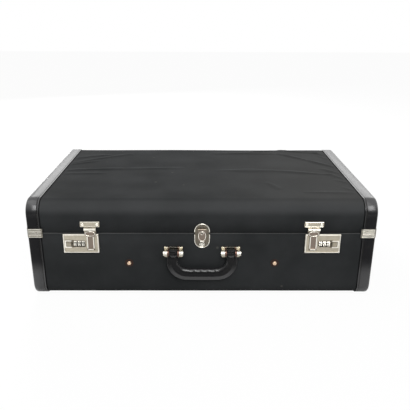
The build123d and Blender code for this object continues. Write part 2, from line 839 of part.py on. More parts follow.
with BuildPart() as key_bolt:
    y = -cover_face + bolt_depth
    rod_along_x((key_bolt_tip, key_bolt_end), y, key_bolt_height, bolt_radius)
    x = (key_bolt_end - key_bolt_thickness, key_bolt_end)
    z = (rack_bottom, key_bolt_height + bolt_radius)
    block(x, proud(-pinion_depth, bolt_radius - bolt_depth), z)
    rack = proud(-pinion_depth, -plug_depth - body_clearance)
    block((rack_start, key_bolt_end), rack, (rack_bottom, rack_bottom + rack_height))
finish(key_bolt, "key_bolt")

upper_plate = key_plate((lid_bottom, key_plate_top))
with BuildPart() as key_catch_plate:
    add(upper_plate)
    y = -cover_face - key_hinge_proud
    for x in outer_knuckles(0, key_hinge_width, key_knuckle_width):
        z = (catch_hinge_height - key_knuckle_radius, catch_hinge_height + key_knuckle_radius)
        block(x, proud(0, key_hinge_proud), z)
        rod_along_x(x, y, catch_hinge_height, key_knuckle_radius)
        rod_along_x(x, y, catch_hinge_height, catch_pin_radius + seat_clearance, Mode.SUBTRACT)
    height = key_plate_top - key_rivet_drop
    rod_along_y(0, proud(-wall_depth, 0), height, catch_rivet_radius)
    rod_along_y(0, proud(0, key_plate_thickness + catch_rivet_proud / 2), height, catch_rivet_head)
finish(key_catch_plate, "key_catch_plate")

with BuildPart() as key_hasp:
    with BuildSketch(front_plane(key_hasp_back)):
        with Locations((0, (key_hasp_bottom + key_hasp_top) / 2)):
            Rectangle(key_hasp_width, key_hasp_top - key_hasp_bottom)
    extrude(amount=hasp_thickness)
    fillet(key_hasp.edges().filter_by(Axis.Y).group_by(Axis.Z)[0], hasp_tail_corner)
    half = key_hasp_width / 2 - hasp_tail_corner
    z = (key_hasp_bottom, key_hasp_bottom + hasp_lip_height)
    block((-half, half), proud(key_hasp_back, key_hasp_front + hasp_lip_proud), z)
    half = key_knuckle_width / 2
    block((-half, half), proud(key_hasp_back, key_hasp_front), (key_hasp_top, catch_hinge_height))
    y = -cover_face - key_hinge_proud
    rod_along_x((-half, half), y, catch_hinge_height, key_knuckle_radius)
    rod_along_x((-half, half), y, catch_hinge_height, catch_pin_radius + pin_fit, Mode.SUBTRACT)
    add_nose(0, key_nose_bottom, key_hasp_back)
finish(key_hasp, "key_hasp")

with BuildPart() as hasp_pins:
    for side in sides.values():
        x = about(side, latch_distance, catch_hinge_width)
        rod_along_x(x, -cover_face - catch_hinge_proud, catch_hinge_height, catch_pin_radius)
    half = key_hinge_width / 2
    rod_along_x((-half, half), -cover_face - key_hinge_proud, catch_hinge_height, catch_pin_radius)
finish(hasp_pins, "hasp_pins")


# The handle and its brackets

pivot_y = -cover_face - pivot_proud
barrel_start = handle_end_width / 2 + collar_length + body_clearance


def either_side(side, start, length):
    """The limits in X of two like pieces either side of one end of the handle, this far from its middle."""
    near = span(side, handle_distance - start - length, handle_distance - start)
    far = span(side, handle_distance + start, handle_distance + start + length)
    return near, far


def handle_bracket(side):
    """A bracket: a plate with a bar across its top, two barrels on ears, and rivets through the wall."""
    with BuildPart() as bracket:
        with BuildSketch(front_plane(0)):
            with Locations((side * handle_distance, (bracket_plate_bottom + bracket_plate_top) / 2)):
                height = bracket_plate_top - bracket_plate_bottom
                RectangleRounded(bracket_plate_width, height, bracket_plate_corner)
        extrude(amount=bracket_plate_thickness)
        x = about(side, handle_distance, bracket_plate_width - 2 * bracket_plate_corner)
        y = proud(bracket_plate_thickness, bracket_plate_thickness + bracket_bar_proud)
        block(x, y, (bracket_plate_top - bracket_bar_height, bracket_plate_top))
        for x in either_side(side, barrel_start, ear_length):
            block(x, proud(0, pivot_proud), (pivot_height - ear_height / 2, pivot_height + ear_height / 2))
        for x in either_side(side, barrel_start, barrel_length):
            rod_along_x(x, pivot_y, pivot_height, barrel_radius)
        x = about(side, handle_distance, 2 * (barrel_start + barrel_length))
        rod_along_x(x, pivot_y, pivot_height, pivot_radius + seat_clearance, Mode.SUBTRACT)
        for height in bracket_rivet_heights:
            rod_along_y(side * handle_distance, proud(-wall_depth, 0), height, bracket_rivet_radius)
            tail = proud(-wall_depth - rivet_tail, -wall_depth)
            rod_along_y(side * handle_distance, tail, height, rivet_tail_radius)
    return bracket


wave_pitch = 2 * grip_wave_reach / grip_waves

with BuildPart() as handle_grip:
    with BuildSketch(Plane.XZ.offset(-pivot_y)) as bow:
        inner = handle_distance - handle_end_width / 2
        right = [
            (inner, grip_top),
            (inner, pivot_height),
            (handle_distance + handle_end_width / 2, pivot_height),
            (grip_shoulder_reach, grip_shoulder_height),
            (grip_corner_reach, grip_corner_height),
        ]
        with BuildLine():
            Polyline(*right, (0, grip_bottom), *[(-x, z) for x, z in reversed(right)], close=True)
        make_face()
        fillet(bow.vertices().group_by(Axis.Y)[3], grip_shoulder_radius)
        fillet(bow.vertices().group_by(Axis.Y)[2], grip_inner_radius)
        fillet(bow.vertices().group_by(Axis.Y)[1], grip_corner_radius)
    extrude(amount=grip_thickness / 2, both=True)
    faces = handle_grip.faces().sort_by(Axis.Y)
    rims = (faces[0].edges() + faces[-1].edges()).filter_by(lambda edge: edge.center().Z < pivot_height - seat_clearance)
    fillet(rims, grip_edge_radius)
    with BuildSketch(Plane.XZ.offset(-pivot_y)):
        for number in range(grip_waves):
            start = wave_pitch * number - grip_wave_reach
            middle = (start + wave_pitch / 2, grip_top - grip_wave_depth)
            with BuildLine():
                ThreePointArc((start, grip_top), middle, (start + wave_pitch, grip_top))
                Line((start + wave_pitch, grip_top), (start, grip_top))
            make_face()
    extrude(amount=grip_thickness, both=True, mode=Mode.SUBTRACT)
    for side in sides.values():
        x = about(side, handle_distance, handle_end_width)
        rod_along_x(x, pivot_y, pivot_height, handle_end_radius)
        rod_along_x(x, pivot_y, pivot_height, pivot_radius + pin_fit, Mode.SUBTRACT)
        for x in either_side(side, handle_end_width / 2, collar_length):
            rod_along_x(x, pivot_y, pivot_height, collar_radius, Mode.SUBTRACT)
finish(handle_grip, "handle_grip")

with BuildPart() as handle_collars:
    for side in sides.values():
        for x in either_side(side, handle_end_width / 2, collar_length):
            rod_along_x(x, pivot_y, pivot_height, collar_radius)
            rod_along_x(x, pivot_y, pivot_height, pivot_radius + pin_fit, Mode.SUBTRACT)
finish(handle_collars, "handle_collars")

for side_name, side in sides.items():
    finish(handle_bracket(side), f"handle_bracket_{side_name}")
    with BuildPart() as handle_pin:
        x = about(side, handle_distance, 2 * (barrel_start + barrel_length))
        rod_along_x(x, pivot_y, pivot_height, pivot_radius)
    finish(handle_pin, f"handle_pin_{side_name}")


# Studs through the walls, and the packing straps that they hold inside

stud_shank = wall_depth + strap_thickness

with BuildPart() as stud_washers:
    for side in sides.values():
        for y in (proud(0, washer_thickness), behind(0, washer_thickness)):
            rod_along_y(side * stud_distance, y, stud_height, washer_radius)
            radius = stud_shank_radius + seat_clearance
            rod_along_y(side * stud_distance, y, stud_height, radius, Mode.SUBTRACT)
finish(stud_washers, "stud_washers")

with BuildPart() as strap_studs:
    for side in sides.values():
        for limits in (proud, behind):
            x = side * stud_distance
            head = limits(washer_thickness, washer_thickness + stud_head_proud)
            rod_along_y(x, head, stud_height, stud_head_radius)
            rod_along_y(x, limits(-stud_shank, washer_thickness), stud_height, stud_shank_radius)
            tail = limits(-stud_shank - rivet_tail, -stud_shank)
            rod_along_y(x, tail, stud_height, stud_tail_radius)
    for group in (0, -1):
        fillet(strap_studs.faces().group_by(Axis.Y)[group].edges(), stud_head_edge)
finish(strap_studs, "strap_studs")

for side_name, side in sides.items():
    with BuildPart() as packing_strap:
        x = about(side, stud_distance, strap_width)
        extrude(case_section(room_inset), amount=case_length / 2, both=True)
        inside = case_section(room_inset + strap_thickness)
        extrude(inside, amount=case_length / 2, both=True, mode=Mode.SUBTRACT)
        block(x, (-case_depth, case_depth), (0, stud_height + strap_end_above), Mode.INTERSECT)
        radius = stud_shank_radius + seat_clearance
        rod_along_y(side * stud_distance, (-case_depth, case_depth), stud_height, radius, Mode.SUBTRACT)
    finish(packing_strap, f"packing_strap_{side_name}")

with BuildPart() as strap_buckles:
    bottom = room_inset + strap_thickness
    z = (bottom, bottom + buckle_bar)
    for side in sides.values():
        half = buckle_length / 2
        block(about(side, stud_distance, strap_width + 2 * buckle_overlap), (-half, half), z)
        for near in (buckle_bar / 2, buckle_bar / 2 - half + buckle_bar / 2):
            y = (near, near + half - 2 * buckle_bar)
            block(about(side, stud_distance, strap_width), y, z, Mode.SUBTRACT)
finish(strap_buckles, "strap_buckles")


# The hinges and the feet on the back

hinge_y = cover_face + hinge_axis_proud


def hinge_knuckles(middle):
    """The limits in X of a hinge's two outer knuckles, which the base has, and of the lid's centre one."""
    third = hinge_width / 6
    gap = hinge_knuckle_clearance / 2
    outer = (middle - 3 * third, middle - third - gap), (middle + third + gap, middle + 3 * third)
    return outer, ((middle - third + gap, middle + third - gap),)


def hinge_leaf(side, plate, bridge, knuckles_x, bore, rivet_height):
    """One leaf of a hinge: a plate on the cloth, a bridge to its knuckles, and two rivets."""
    middle = side * hinge_distance
    with BuildPart() as leaf:
        block(about(side, hinge_distance, hinge_width), behind(0, hinge_leaf_thickness), plate)
        for x in knuckles_x:
            block(x, behind(0, hinge_axis_proud), bridge)
            rod_along_x(x, hinge_y, seam_height, hinge_knuckle_radius)
            rod_along_x(x, hinge_y, seam_height, bore, Mode.SUBTRACT)
        for offset in (-hinge_rivet_spread, hinge_rivet_spread):
            rod_along_y(middle + offset, behind(-wall_depth, 0), rivet_height, hinge_rivet_radius)
            tail = behind(-wall_depth - rivet_tail, -wall_depth)
            rod_along_y(middle + offset, tail, rivet_height, rivet_tail_radius)
    return leaf


for side_name, side in sides.items():
    outer, centre = hinge_knuckles(side * hinge_distance)
    base_leaf = hinge_leaf(
        side,
        (base_top - hinge_leaf_height, base_top),
        (base_top - hinge_bridge, base_top),
        outer,
        hinge_pin_radius + seat_clearance,
        base_top - hinge_leaf_height + hinge_rivet_inset,
    )
    finish(base_leaf, f"hinge_base_leaf_{side_name}")
    lid_leaf = hinge_leaf(
        side,
        (lid_bottom, lid_bottom + hinge_leaf_height),
        (lid_bottom, lid_bottom + hinge_bridge),
        centre,
        hinge_pin_radius + pin_fit,
        lid_bottom + hinge_leaf_height - hinge_rivet_inset,
    )
    finish(lid_leaf, f"hinge_lid_leaf_{side_name}")

with BuildPart() as hinge_pins:
    for side in sides.values():
        rod_along_x(about(side, hinge_distance, hinge_width), hinge_y, seam_height, hinge_pin_radius)
finish(hinge_pins, "hinge_pins")

with BuildPart() as back_feet:
    for side in sides.values():
        for height in foot_heights:
            x = side * foot_distance
            rod_along_y(x, behind(0, foot_proud), height, foot_radius)
            rod_along_y(x, behind(-wall_depth, 0), height, foot_post_radius)
            tail = behind(-wall_depth - rivet_tail, -wall_depth)
            rod_along_y(x, tail, height, foot_tail_radius)
    fillet(back_feet.faces().group_by(Axis.Y)[-1].edges(), foot_edge_radius)
finish(back_feet, "back_feet")
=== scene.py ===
# %% [markdown]
# # Dressing a suitcase
# The suitcase's solids come from a CAD model, in metres, with its front towards -Y. This lesson gives every
# solid a finish, and makes anew what a solid can't show: cloth drawn over a lid, leather folded over an
# edge, stitches, a grip worn smooth. Loading comes first, and the size of the dressed suitcase is printed
# at the end.

# %% Load the frame
import json
import math

import bmesh
import bpy
from mathutils import Matrix, Vector, noise
from mathutils.kdtree import KDTree


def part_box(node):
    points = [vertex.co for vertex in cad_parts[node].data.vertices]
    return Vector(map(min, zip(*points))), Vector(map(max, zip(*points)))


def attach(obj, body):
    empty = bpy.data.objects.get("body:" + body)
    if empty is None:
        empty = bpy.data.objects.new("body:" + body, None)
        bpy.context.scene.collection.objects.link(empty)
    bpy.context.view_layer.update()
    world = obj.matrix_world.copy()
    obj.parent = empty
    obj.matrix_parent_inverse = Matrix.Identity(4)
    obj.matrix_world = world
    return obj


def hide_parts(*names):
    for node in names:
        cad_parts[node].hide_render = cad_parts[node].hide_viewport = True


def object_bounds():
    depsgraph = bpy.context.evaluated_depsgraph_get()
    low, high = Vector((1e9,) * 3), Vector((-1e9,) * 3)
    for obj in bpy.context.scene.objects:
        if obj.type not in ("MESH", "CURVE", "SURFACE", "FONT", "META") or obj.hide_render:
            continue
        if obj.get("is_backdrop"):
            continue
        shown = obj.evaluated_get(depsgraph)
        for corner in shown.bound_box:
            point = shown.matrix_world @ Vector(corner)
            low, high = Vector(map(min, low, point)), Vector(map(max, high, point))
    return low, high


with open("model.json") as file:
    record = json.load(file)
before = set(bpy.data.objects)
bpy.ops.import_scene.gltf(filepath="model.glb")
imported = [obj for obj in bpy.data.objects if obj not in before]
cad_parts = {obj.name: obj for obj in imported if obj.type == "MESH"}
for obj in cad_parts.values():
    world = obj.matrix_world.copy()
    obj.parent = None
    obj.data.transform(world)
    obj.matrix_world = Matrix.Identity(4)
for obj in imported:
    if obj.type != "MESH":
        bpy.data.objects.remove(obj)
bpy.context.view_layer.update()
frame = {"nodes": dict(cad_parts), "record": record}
nodes = frame["nodes"]

# %% [markdown]
# ## The camera
# The photograph looks down on the front from a little over a metre away. Its place and its turn were
# worked out from the corners of the case, so the camera is set as a matrix: the picture's right, its up,
# and the direction back towards the camera, as three columns. A lens of 46 mm gives the same perspective.

# %% Place the camera
mm = 0.001
camera_place = Vector((-1.4, -1099.1, 524.1)) * mm
picture_right = Vector((0.99998, -0.00586, 0.00392))
picture_up = Vector((-0.00162, 0.34990, 0.93679))


def new_object(name, data):
    """A new object in the scene."""
    made = bpy.data.objects.new(name, data)
    bpy.context.scene.collection.objects.link(made)
    return made


camera = new_object("camera", bpy.data.cameras.new("camera"))
camera.data.lens = 46.1
turn = Matrix((picture_right, picture_up, picture_right.cross(picture_up))).transposed()
camera.matrix_world = Matrix.Translation(camera_place) @ turn.to_4x4()
bpy.context.scene.camera = camera
print("camera", round(camera_place.length, 3), "m from the middle of the floor under the case")

# %% [markdown]
# ## Wires: shader maths as sums
# A material is a net of nodes. Written out link by link it is hard to read, so a small class holds one
# wire, and sums with wires add the Math nodes that do them. One method adds any other node: its settings
# come first, because they decide which sockets it has, and then the values or wires for the sockets.


# %% A class for wires
class Wire:
    """One output of a material's nodes. A sum with it adds a Math node."""

    def __init__(self, tree, socket):
        self.tree = tree
        self.socket = socket

    def node(self, kind, settings, values, output=0):
        """Adds a node, with its settings first and then the values or wires of its sockets."""
        made = self.tree.nodes.new(kind)
        for name, value in settings.items():
            setattr(made, name, value)
        for name, value in values.items():
            if isinstance(value, Wire):
                self.tree.links.new(value.socket, made.inputs[name])
            else:
                made.inputs[name].default_value = value
        return Wire(self.tree, made.outputs[output])

    def math(self, operation, first, second=0.0):
        return self.node("ShaderNodeMath", {"operation": operation}, {0: first, 1: second})

    def __add__(self, other):
        return self.math("ADD", self, other)

    __radd__ = __add__

    def __sub__(self, other):
        return self.math("SUBTRACT", self, other)

    def __rsub__(self, other):
        return self.math("SUBTRACT", other, self)

    def __mul__(self, other):
        return self.math("MULTIPLY", self, other)

    __rmul__ = __mul__

    def __truediv__(self, other):
        return self.math("DIVIDE", self, other)

    def __abs__(self):
        return self.math("ABSOLUTE", self)

    def lower(self, other):
        return self.math("MINIMUM", self, other)

    def higher(self, other):
        return self.math("MAXIMUM", self, other)

    def rise(self, low, high):
        """0 below low and 1 above high, with a smooth step between them."""
        limits = {"Value": self, "From Min": low, "From Max": high}
        return self.node("ShaderNodeMapRange", {"interpolation_type": "SMOOTHSTEP"}, limits)

    def blend(self, first, second):
        """The first colour where this wire is 0 and the second where it is 1."""
        return self.node("ShaderNodeMix", {"data_type": "RGBA"}, {0: self, 6: first, 7: second}, output=2)

    def part(self, axis):
        """One coordinate of a point: 0, 1 or 2 for X, Y or Z."""
        return self.node("ShaderNodeSeparateXYZ", {}, {0: self}, output=axis)

    def stretched(self, x, y, z):
        """The point with each coordinate multiplied, which squeezes a pattern read at it."""
        return self.node("ShaderNodeVectorMath", {"operation": "MULTIPLY"}, {0: self, 1: (x, y, z)})

    def clouds(self, size, detail=3.0, roughness=0.5):
        """Soft noise from about 0 to 1, with patches about this large in metres."""
        values = {"Vector": self, "Scale": 1 / size, "Detail": detail, "Roughness": roughness}
        return self.node("ShaderNodeTexNoise", {}, values)

    def cells(self, size, feature="F1"):
        """How far each point is from the middle or the edge of its cell, for cells of this size."""
        return self.node("ShaderNodeTexVoronoi", {"feature": feature}, {"Vector": self, "Scale": 1 / size})


def new_finish(name):
    """A new material, and the wire that carries each point's place on the suitcase."""
    material = bpy.data.materials.new(name)
    material.use_nodes = True
    place = material.node_tree.nodes.new("ShaderNodeTexCoord")
    return material, Wire(material.node_tree, place.outputs["Object"])


def surface(material, color, roughness, height=None, depth=1.0, **fixed):
    """Wires a finish to its shader. Height makes a bump this deep in metres, and fixed are plain sockets."""
    tree = material.node_tree
    shader = tree.nodes["Principled BSDF"]
    wired = {"Base Color": color, "Roughness": roughness}
    for name, value in {**wired, **fixed}.items():
        if isinstance(value, Wire):
            tree.links.new(value.socket, shader.inputs[name])
        else:
            shader.inputs[name].default_value = value
    if height is not None:
        bump = height.node("ShaderNodeBump", {}, {"Height": height, "Distance": depth, "Strength": 1.0})
        tree.links.new(bump.socket, shader.inputs["Normal"])
    return material


print("wires are ready")

# %% [markdown]
# ## Black cloth
# The case is covered in thin book cloth, woven at about two threads a millimetre and coated black, so it
# is nearly smooth with a soft shine. The weave follows the sheet's own UV map, measured in metres. Wear
# shows as paler clouds, a few rubbed specks and small scuffs. The lid's top is paler, more so towards its
# ends. The cloth is painted paler where it bends over the lid's edge, as a painted sheen, and on the crests
# of its folds, partly as rubbed wear and partly as a painted highlight. Along a binding's edge it is
# painted black, as a painted shadow, and under the binding too.
# Places in the finishes are in millimetres, so the few heights and edges that they share come first.


# %% The cloth's finish
lid_top = 195.0
band_edge = 301.3


def weave(material, point, thread):
    """The height of a plain weave, from 0 to 1, for threads this far apart in metres."""
    sheet = material.node_tree.nodes.new("ShaderNodeUVMap")
    across = Wire(point.tree, sheet.outputs["UV"])
    warp = across.part(0).math("PINGPONG", across.part(0), thread) / thread
    weft = across.part(1).math("PINGPONG", across.part(1), thread) / thread
    over = warp.math("SINE", across.part(0) * (math.pi / thread))
    under = weft.math("SINE", across.part(1) * (math.pi / thread))
    return (over * under + 1) * 0.25 + warp.lower(weft) * 0.5


def cover_cloth(name, dark, pale):
    """The covers' cloth, from its darkest to its palest clouds."""
    material, point = new_finish(name)
    threads = weave(material, point, 0.55 * mm)
    broad = point.clouds(90 * mm, detail=4.0)
    fine = point.clouds(6 * mm, detail=5.0, roughness=0.7)
    rubbed = fine.rise(0.62, 0.78) * broad.rise(0.45, 0.7)
    specks = 1 - point.cells(45 * mm).rise(0.02, 0.085)
    scuffs = point.stretched(0.3, 1.0, 1.0).clouds(5 * mm, detail=2.0).rise(0.77, 0.83)
    worn = (rubbed * 0.2 + specks * 0.35 + scuffs * 0.2).lower(1.0)
    color = broad.rise(0.3, 0.7).blend(dark, pale)
    x, outward, level = point.part(0) / mm, abs(point.part(1)) / mm, point.part(2) / mm
    # The lid's top is paler, the more so towards its ends.
    toward_ends = abs(x + 120).rise(60, 400)
    top_paling = level.rise(lid_top - 15, lid_top - 1) * (toward_ends * 0.3 + 0.04)
    color = top_paling.blend(color, (0.073, 0.072, 0.069, 1))
    # Painted sheen: the cloth is painted paler where it bends over the lid's edge.
    below_top = 1 - level.rise(lid_top - 5, lid_top + 1) * 0.5
    bend = level.rise(lid_top - 31, lid_top - 13) * outward.rise(170, 190) * below_top
    # The crests of the folds are painted paler: partly rubbed wear, partly a painted highlight.
    crest_wear_and_highlight = level.rise(lid_top + 0.7, lid_top + 2.3) * 0.6
    color = (bend * 0.3).higher(crest_wear_and_highlight).blend(color, (0.09, 0.092, 0.094, 1))
    color = worn.blend(color, (0.11, 0.105, 0.095, 1))
    # Painted shadow: the cloth is painted black along a binding's inner edge and under the binding.
    reach = abs(x)
    under_band = 1 - reach.rise(band_edge + 1.7, band_edge + 4.7)
    binding_edge_shadow = reach.rise(band_edge - 2.9, band_edge - 1.9) * under_band * 0.85
    color = binding_edge_shadow.blend(color, (0.002, 0.002, 0.002, 1))
    roughness = 0.58 + fine * 0.08 + worn * 0.15
    height = threads * 0.04 + fine * 0.1
    return surface(material, color, roughness, height, 0.6 * mm, **{"Specular IOR Level": 0.02})


black_cloth = cover_cloth("black_cover_cloth", (0.0185, 0.0198, 0.0205, 1), (0.0265, 0.028, 0.029, 1))
# The cloth of the roll along the seam is painted paler, as a painted highlight.
seam_highlight_cloth = cover_cloth("seam_cloth_painted_highlight", (0.05, 0.052, 0.052, 1), (0.075, 0.077, 0.077, 1))
print("finishes", black_cloth.name, seam_highlight_cloth.name)

# %% [markdown]
# ## Leathers
# The bindings and the grip are black leather, polished until it shines like lacquer. Under the shine is a
# grain of small cells, and where leather is bent it creases across the bend. The discs under the studs are
# brown. All leather is paler and rougher where it is rubbed. A binding is painted grey where it turns over
# the lid's edge, as a painted highlight, and low down on the base, as a painted reflection of the floor.
# Its cut edge is painted paler, as a painted highlight, and its stitch groove black, as painted shade. The
# grip is painted grey and made rougher low on the outside of its bend, the grey a painted reflection of the
# floor, and it is paler along its outlines, as painted highlights.


# %% The leathers' finishes
def leather(name, dark, rubbed, grain, gloss, creased, varnish, edged=False, ridge=False):
    """Leather with a grain of this size in metres. Gloss is its roughness, and varnish the coat on it.

    Edged leather is that of the bindings: painted paler along its cut edge as a painted highlight, painted
    black in the groove beside it as painted shade, and painted grey where it turns over the lid's edge and
    low down, as a painted highlight and a painted reflection of the floor. Its varnish is worn off near the
    seam, where hands go. The grip's has a ridge: painted grey low on its outside as a painted reflection of
    the floor, and paler along its outlines as painted highlights.
    """
    material, point = new_finish(name)
    pores = point.cells(grain, feature="DISTANCE_TO_EDGE")
    patches = point.clouds(40 * mm, detail=4.0)
    fine = point.clouds(3 * mm, detail=4.0, roughness=0.65)
    creases = point.stretched(1.0, 0.35, 0.35).clouds(9 * mm, detail=3.0, roughness=0.6)
    scuffs = point.stretched(0.25, 1.0, 1.0).clouds(4 * mm, detail=2.0).rise(0.72, 0.8)
    wear = (patches.rise(0.5, 0.75) * fine.rise(0.45, 0.75) * 0.4 + scuffs * 0.4).lower(1.0)
    color = wear.blend(dark, rubbed)
    roughness = gloss + patches * 0.1 + wear * 0.2
    height = pores.rise(0.0, 0.35) * 0.03 + creases * creased + fine * 0.02
    if edged:
        reach, level = abs(point.part(0)) / mm, point.part(2) / mm
        outward = abs(point.part(1)) / mm
        # Painted highlight: the binding is painted grey where it turns over the lid's edge.
        bend = level.rise(lid_top - 24, lid_top - 8) * outward.rise(174, 192) * 0.9
        # Painted reflection: the binding is painted grey low down on the base, standing for the floor
        # reflected there.
        painted_low_reflection = (1 - level.rise(30, 88)) * 0.42
        color = bend.higher(painted_low_reflection).blend(color, (0.07, 0.07, 0.072, 1))
        # Painted highlight: a thin paler line along the binding's cut edge.
        rim = 1 - abs(reach - (band_edge + 0.2)).rise(0.5, 1.1)
        # Painted shade: the stitch groove beside the edge is painted black.
        groove = 1 - abs(reach - (band_edge + 2.3)).rise(0.7, 1.2)
        color = (rim * 0.7).blend(color, (0.038, 0.038, 0.039, 1))
        color = groove.blend(color, (0.0008, 0.0008, 0.0008, 1))
        varnish = abs(level - handled_level).rise(42, 70) * varnish
    if ridge:
        inner = point.node("ShaderNodeAttribute", {"attribute_name": "inner_share"}, {}, output=2)
        # Painted reflection: the lower outside of the grip is painted grey, standing for the floor reflected
        # there.
        painted_low_reflection = 1 - (point.part(2) / mm).rise(52, 78)
        grip_floor_reflection = (1 - inner.rise(0.36, 0.46)) * painted_low_reflection
        # Painted highlights: thin paler lines along both outlines of the grip.
        edges = (1 - inner.rise(0.06, 0.12)) * 0.5 + inner.rise(0.9, 0.95) * 0.3
        color = grip_floor_reflection.higher(edges).blend(color, (0.056, 0.056, 0.057, 1))
        roughness = roughness + grip_floor_reflection * 0.15
        varnish = inner.rise(0.8, 0.93) * 0.85 + 0.08
    fixed = {"Specular IOR Level": 0.12, "Coat Weight": varnish, "Coat Roughness": 0.22}
    return surface(material, color, roughness, height, 0.5 * mm, **fixed)


handled_level = 118
scuffed = (0.04, 0.036, 0.032, 1)
binding_leather = leather(
    "binding_leather", (0.006, 0.006, 0.007, 1), scuffed, 0.9 * mm, 0.24, 0.25, 0.9, edged=True
)
grip_leather = leather(
    "grip_leather", (0.005, 0.005, 0.0055, 1), scuffed, 0.7 * mm, 0.22, 0.12, 0.4, ridge=True
)
washer_leather = leather(
    "washer_leather", (0.026, 0.012, 0.008, 1), (0.07, 0.04, 0.026, 1), 0.8 * mm, 0.45, 0.3, 0.2
)
print("leathers are ready")

# %% [markdown]
# ## Metals
# The fittings are brass with a warm nickel plate. Its faces are satin and its beads bright. Where the
# plate stands proud, on rims and knuckles, it is painted bright, as a painted highlight, and a few proud
# parts are painted dark, as painted shade. So a finish can have painted light by height, a list of heights
# above the cloth in millimetres, each with the colour that the metal has from there outwards. Clouds of
# tarnish and fine scratches lie over them all.


# %% The metals' finishes
cloth_face = 200.9
bright = (0.98, 0.95, 0.86, 1)
satin = (0.5, 0.455, 0.365, 1)
brown = (0.24, 0.195, 0.16, 1)
shaded = (0.2, 0.175, 0.135, 1)
black = (0.035, 0.03, 0.026, 1)
# Painted highlights on the handle brackets' knuckles and bar, and painted shade on their ears.
knuckle_highlight = (0.78, 0.75, 0.66, 1)
bracket_bar_highlight = (0.62, 0.59, 0.5, 1)
bracket_ear_shade = (0.1, 0.078, 0.062, 1)
dial_level = 111.7
middle_dial = 229.4


def metal(name, color, polish, tarnish=0.4, brushed=0.0, painted_light_by_height=(), window=None):
    """Worn metal. Painted light by height gives its painted highlights and painted shade, and window an X, Z
    and half sizes that are black.
    """
    material, point = new_finish(name)
    patches = point.clouds(7 * mm, detail=5.0, roughness=0.65)
    stains = point.clouds(1.6 * mm, detail=4.0, roughness=0.7)
    scratches = point.stretched(1.0, 1.0, 12.0).clouds(2.2 * mm, detail=2.0)
    height = point.part(1) / -mm - cloth_face
    # Painted highlights and painted shade: each height above the cloth gets its own colour.
    for start, tint in painted_light_by_height:
        color = height.rise(start - 0.12, start + 0.12).blend(color, tint)
    if window:
        x, z, wide, high = window
        beside = 1 - abs(abs(point.part(0)) / mm - x).rise(wide - 0.2, wide)
        level = 1 - abs(point.part(2) / mm - z).rise(high - 0.2, high)
        color = (beside * level).blend(color, black)
    dulled = (patches.rise(0.35, 0.75) * 0.6 + stains.rise(0.55, 0.7) * 0.4) * tarnish
    color = dulled.blend(color, shaded)
    roughness = polish + dulled * 0.2 + scratches.rise(0.5, 0.7) * 0.06
    bumps = stains * 0.2 + scratches * (0.1 + brushed)
    return surface(material, color, roughness, bumps, 0.05 * mm, Metallic=1.0)


nickel = metal("warm_nickel", (0.6, 0.54, 0.43, 1), 0.3)
bright_nickel = metal("bright_nickel", bright, 0.16, tarnish=0.2)
shaded_nickel = metal("shaded_nickel", black, 0.5, 0.2)
dial_window = (middle_dial, dial_level, 11.4, 6.4)
plate_painted_light = [(1.6, satin), (2.6, bright)]
lock_nickel = metal("lock_plate_nickel", shaded, 0.32, painted_light_by_height=plate_painted_light, window=dial_window)
button_painted_light = [(3.4, bright), (4.15, shaded), (4.5, satin)]
button_nickel = metal("button_nickel", shaded, 0.28, 0.3, painted_light_by_height=button_painted_light)
hasp_nickel = metal("hasp_nickel", brown, 0.3, 0.3, painted_light_by_height=[(3.4, bright)])
catch_nickel = metal("catch_nickel", satin, 0.3, painted_light_by_height=[(3.0, bright)])
key_nickel = metal("key_plate_nickel", (0.155, 0.138, 0.11, 1), 0.32, painted_light_by_height=[(2.6, shaded)])
key_hasp_nickel = metal("key_hasp_nickel", brown, 0.3, 0.3)
bracket_painted_light = [(2.2, bracket_bar_highlight), (4.0, bracket_ear_shade), (6.8, knuckle_highlight)]
bracket_nickel = metal("bracket_nickel", satin, 0.24, 0.25, painted_light_by_height=bracket_painted_light)
collar_brass = metal("collar_brass", (0.13, 0.07, 0.055, 1), 0.34, 0.3)
clip_nickel = metal("clip_nickel", (0.24, 0.228, 0.196, 1), 0.25, 0.3)
steel = metal("plain_steel", (0.5, 0.49, 0.46, 1), 0.34, 0.7, brushed=0.4)
copper = metal("stud_copper", (0.9, 0.66, 0.47, 1), 0.22, 0.4)
aluminium = metal("strip_aluminium", (0.7, 0.7, 0.69, 1), 0.38, 0.3, brushed=0.5)
print("metals are ready")

# %% [markdown]
# ## Board, lining and webbing
# Inside, the walls are pressed fibreboard, seen only at the edges of the mouth. They are lined with thin
# grey-brown cloth, and two webbing straps lie across the bottom. The photograph doesn't show the inside,
# so it follows what such a case usually has.


# %% The inside's finishes
def fibreboard():
    material, point = new_finish("fibreboard")
    fibres = point.stretched(1.0, 1.0, 6.0).clouds(2 * mm, detail=5.0, roughness=0.7)
    color = fibres.rise(0.3, 0.7).blend((0.2, 0.13, 0.075, 1), (0.36, 0.26, 0.16, 1))
    return surface(material, color, 0.75 + fibres * 0.15, fibres, 0.15 * mm)


def lining_cloth():
    material, point = new_finish("lining_cloth")
    threads = weave(material, point, 0.4 * mm)
    patches = point.clouds(60 * mm, detail=4.0)
    stains = point.clouds(25 * mm, detail=5.0, roughness=0.7).rise(0.6, 0.8)
    color = patches.rise(0.3, 0.7).blend((0.27, 0.235, 0.19, 1), (0.33, 0.295, 0.245, 1))
    color = (stains * 0.5).blend(color, (0.16, 0.12, 0.08, 1))
    roughness = 0.8 + patches * 0.1
    return surface(material, color, roughness, threads + patches * 0.5, 0.12 * mm, **{"Sheen Weight": 0.2})


